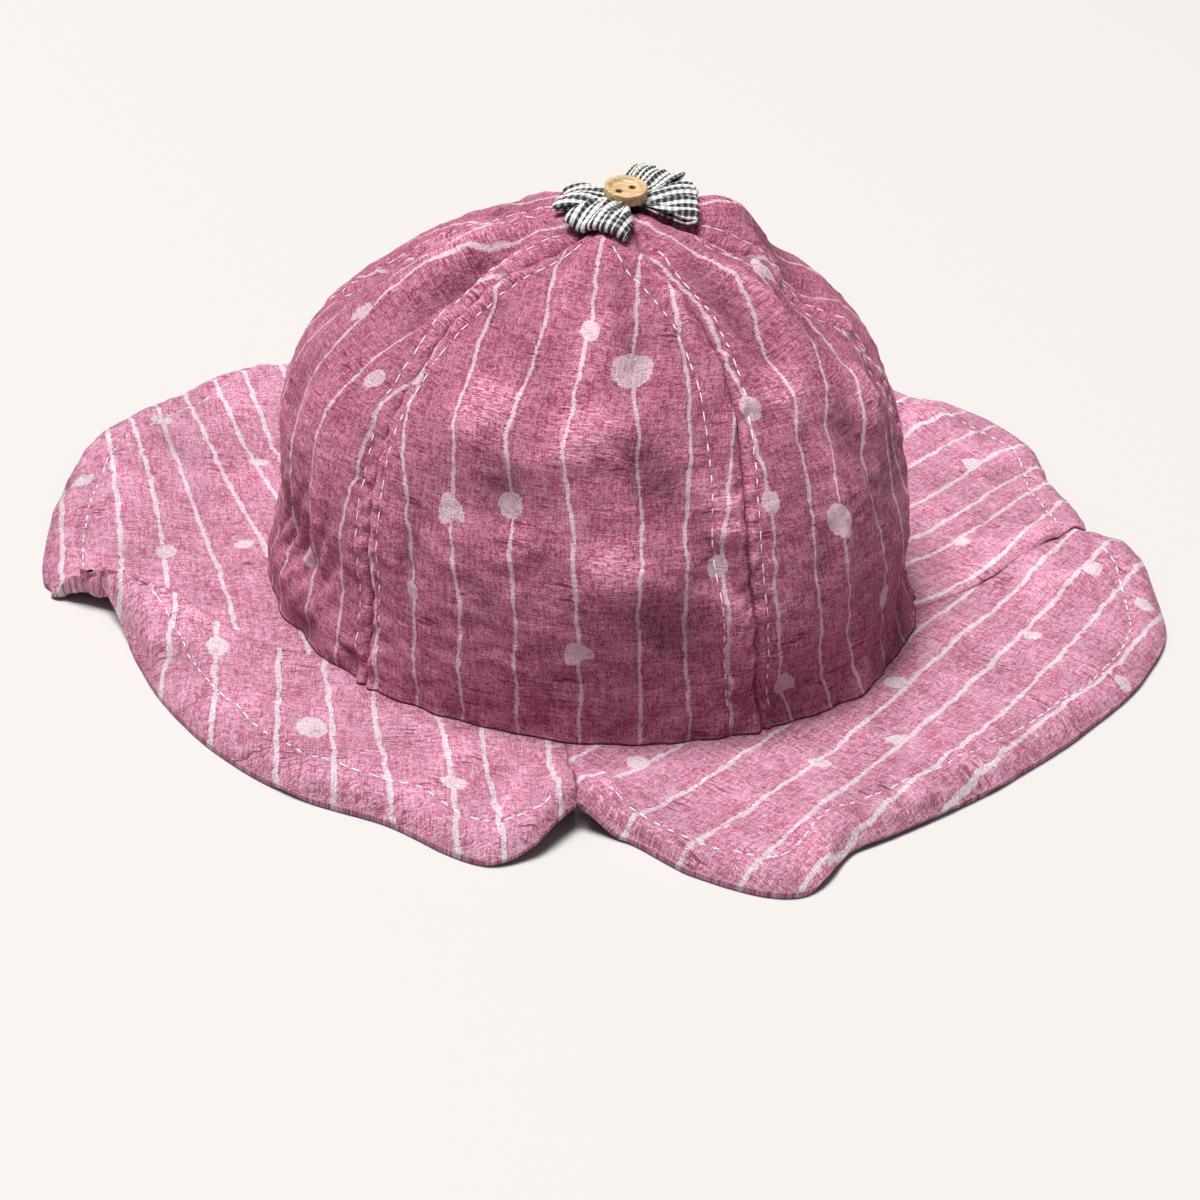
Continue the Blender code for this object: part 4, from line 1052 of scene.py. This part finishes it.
# Painted shade: the walls of the thread holes are coloured near-black.
hole_shade = Finish("hole_painted_shade", 0.7)
hole_shade.shader.inputs["Base Color"].default_value = (0.13, 0.065, 0.025, 1.0)
button.data.materials.append(hole_shade.material)
thread = Finish("white_thread", 0.6)
twist = thread.noise(thread.spots(thread.node("ShaderNodeTexCoord").outputs["Object"], (2400.0, 2400.0, 2400.0)), 1.0)
thread.tree.links.new(thread.mix(twist, (0.80, 0.66, 0.72, 1.0), (0.98, 0.93, 0.95, 1.0)),
                      thread.shader.inputs["Base Color"])
for rows in (crown_stitches, brim_stitches):
    rows.data.materials.append(thread.material)
print("finishes:", [m.name for m in bpy.data.materials if m.use_nodes][-5:])

# %% [markdown]
# The set is a plain pale floor under soft light from above and a little to the left, so the top of
# the hat is bright and the front of the crown falls into soft shade.

# %% Floor, light and camera
bm = bmesh.new()
bmesh.ops.create_grid(bm, x_segments=1, y_segments=1, size=15.0)
mesh = bpy.data.meshes.new("floor")
bm.to_mesh(mesh)
bm.free()
floor = bpy.data.objects.new("floor", mesh)
floor.location.z = -0.0002
bpy.context.scene.collection.objects.link(floor)
paper = Finish("pale_paper", 0.95)
paper.shader.inputs["Base Color"].default_value = (0.517, 0.502, 0.495, 1.0)
mesh.materials.append(paper.material)

world = bpy.data.worlds.new("soft_room")
bpy.context.scene.world = world
world.use_nodes = True
world.node_tree.nodes["Background"].inputs["Color"].default_value = (1.0, 0.98, 0.96, 1.0)
world.node_tree.nodes["Background"].inputs["Strength"].default_value = 0.18
bpy.context.scene.view_settings.view_transform = "Standard"


def softbox(name, place, target, size, power):
    lamp = bpy.data.lights.new(name, "AREA")
    lamp.size = size
    lamp.energy = power
    lamp.color = (1.0, 0.985, 0.96)
    box = bpy.data.objects.new(name, lamp)
    box.location = place
    box.rotation_euler = (Vector(target) - Vector(place)).to_track_quat("-Z", "Y").to_euler()
    bpy.context.scene.collection.objects.link(box)


softbox("key_softbox", (-1.92, -0.32, 8.0), (0.0, 0.0, 0.0), 3.4, 1190.0)

pitch, roll, distance, focal = math.radians(30.0), math.radians(4.85), 0.600, 2478.0
ahead = Vector((0.0, math.cos(pitch), -math.sin(pitch)))
level, upright = Vector((1.0, 0.0, 0.0)), Vector((0.0, math.sin(pitch), math.cos(pitch)))
right = level * math.cos(roll) + upright * math.sin(roll)
up = upright * math.cos(roll) - level * math.sin(roll)
look_at = Vector((AXIS[0] * MM, AXIS[1] * MM, 0.0022))
step = distance / focal
lens = bpy.data.cameras.new("camera")
lens.sensor_width = 36.0
lens.lens = 36.0 * focal / 1200.0
camera = bpy.data.objects.new("camera", lens)
place = look_at - ahead * distance - right * (594.0 - 600.0) * step + up * (572.0 - 600.0) * step
camera.matrix_world = Matrix((right, up, -ahead)).transposed().to_4x4()
camera.location = place
bpy.context.scene.collection.objects.link(camera)
bpy.context.scene.camera = camera
print("camera at", [round(v, 3) for v in camera.location])
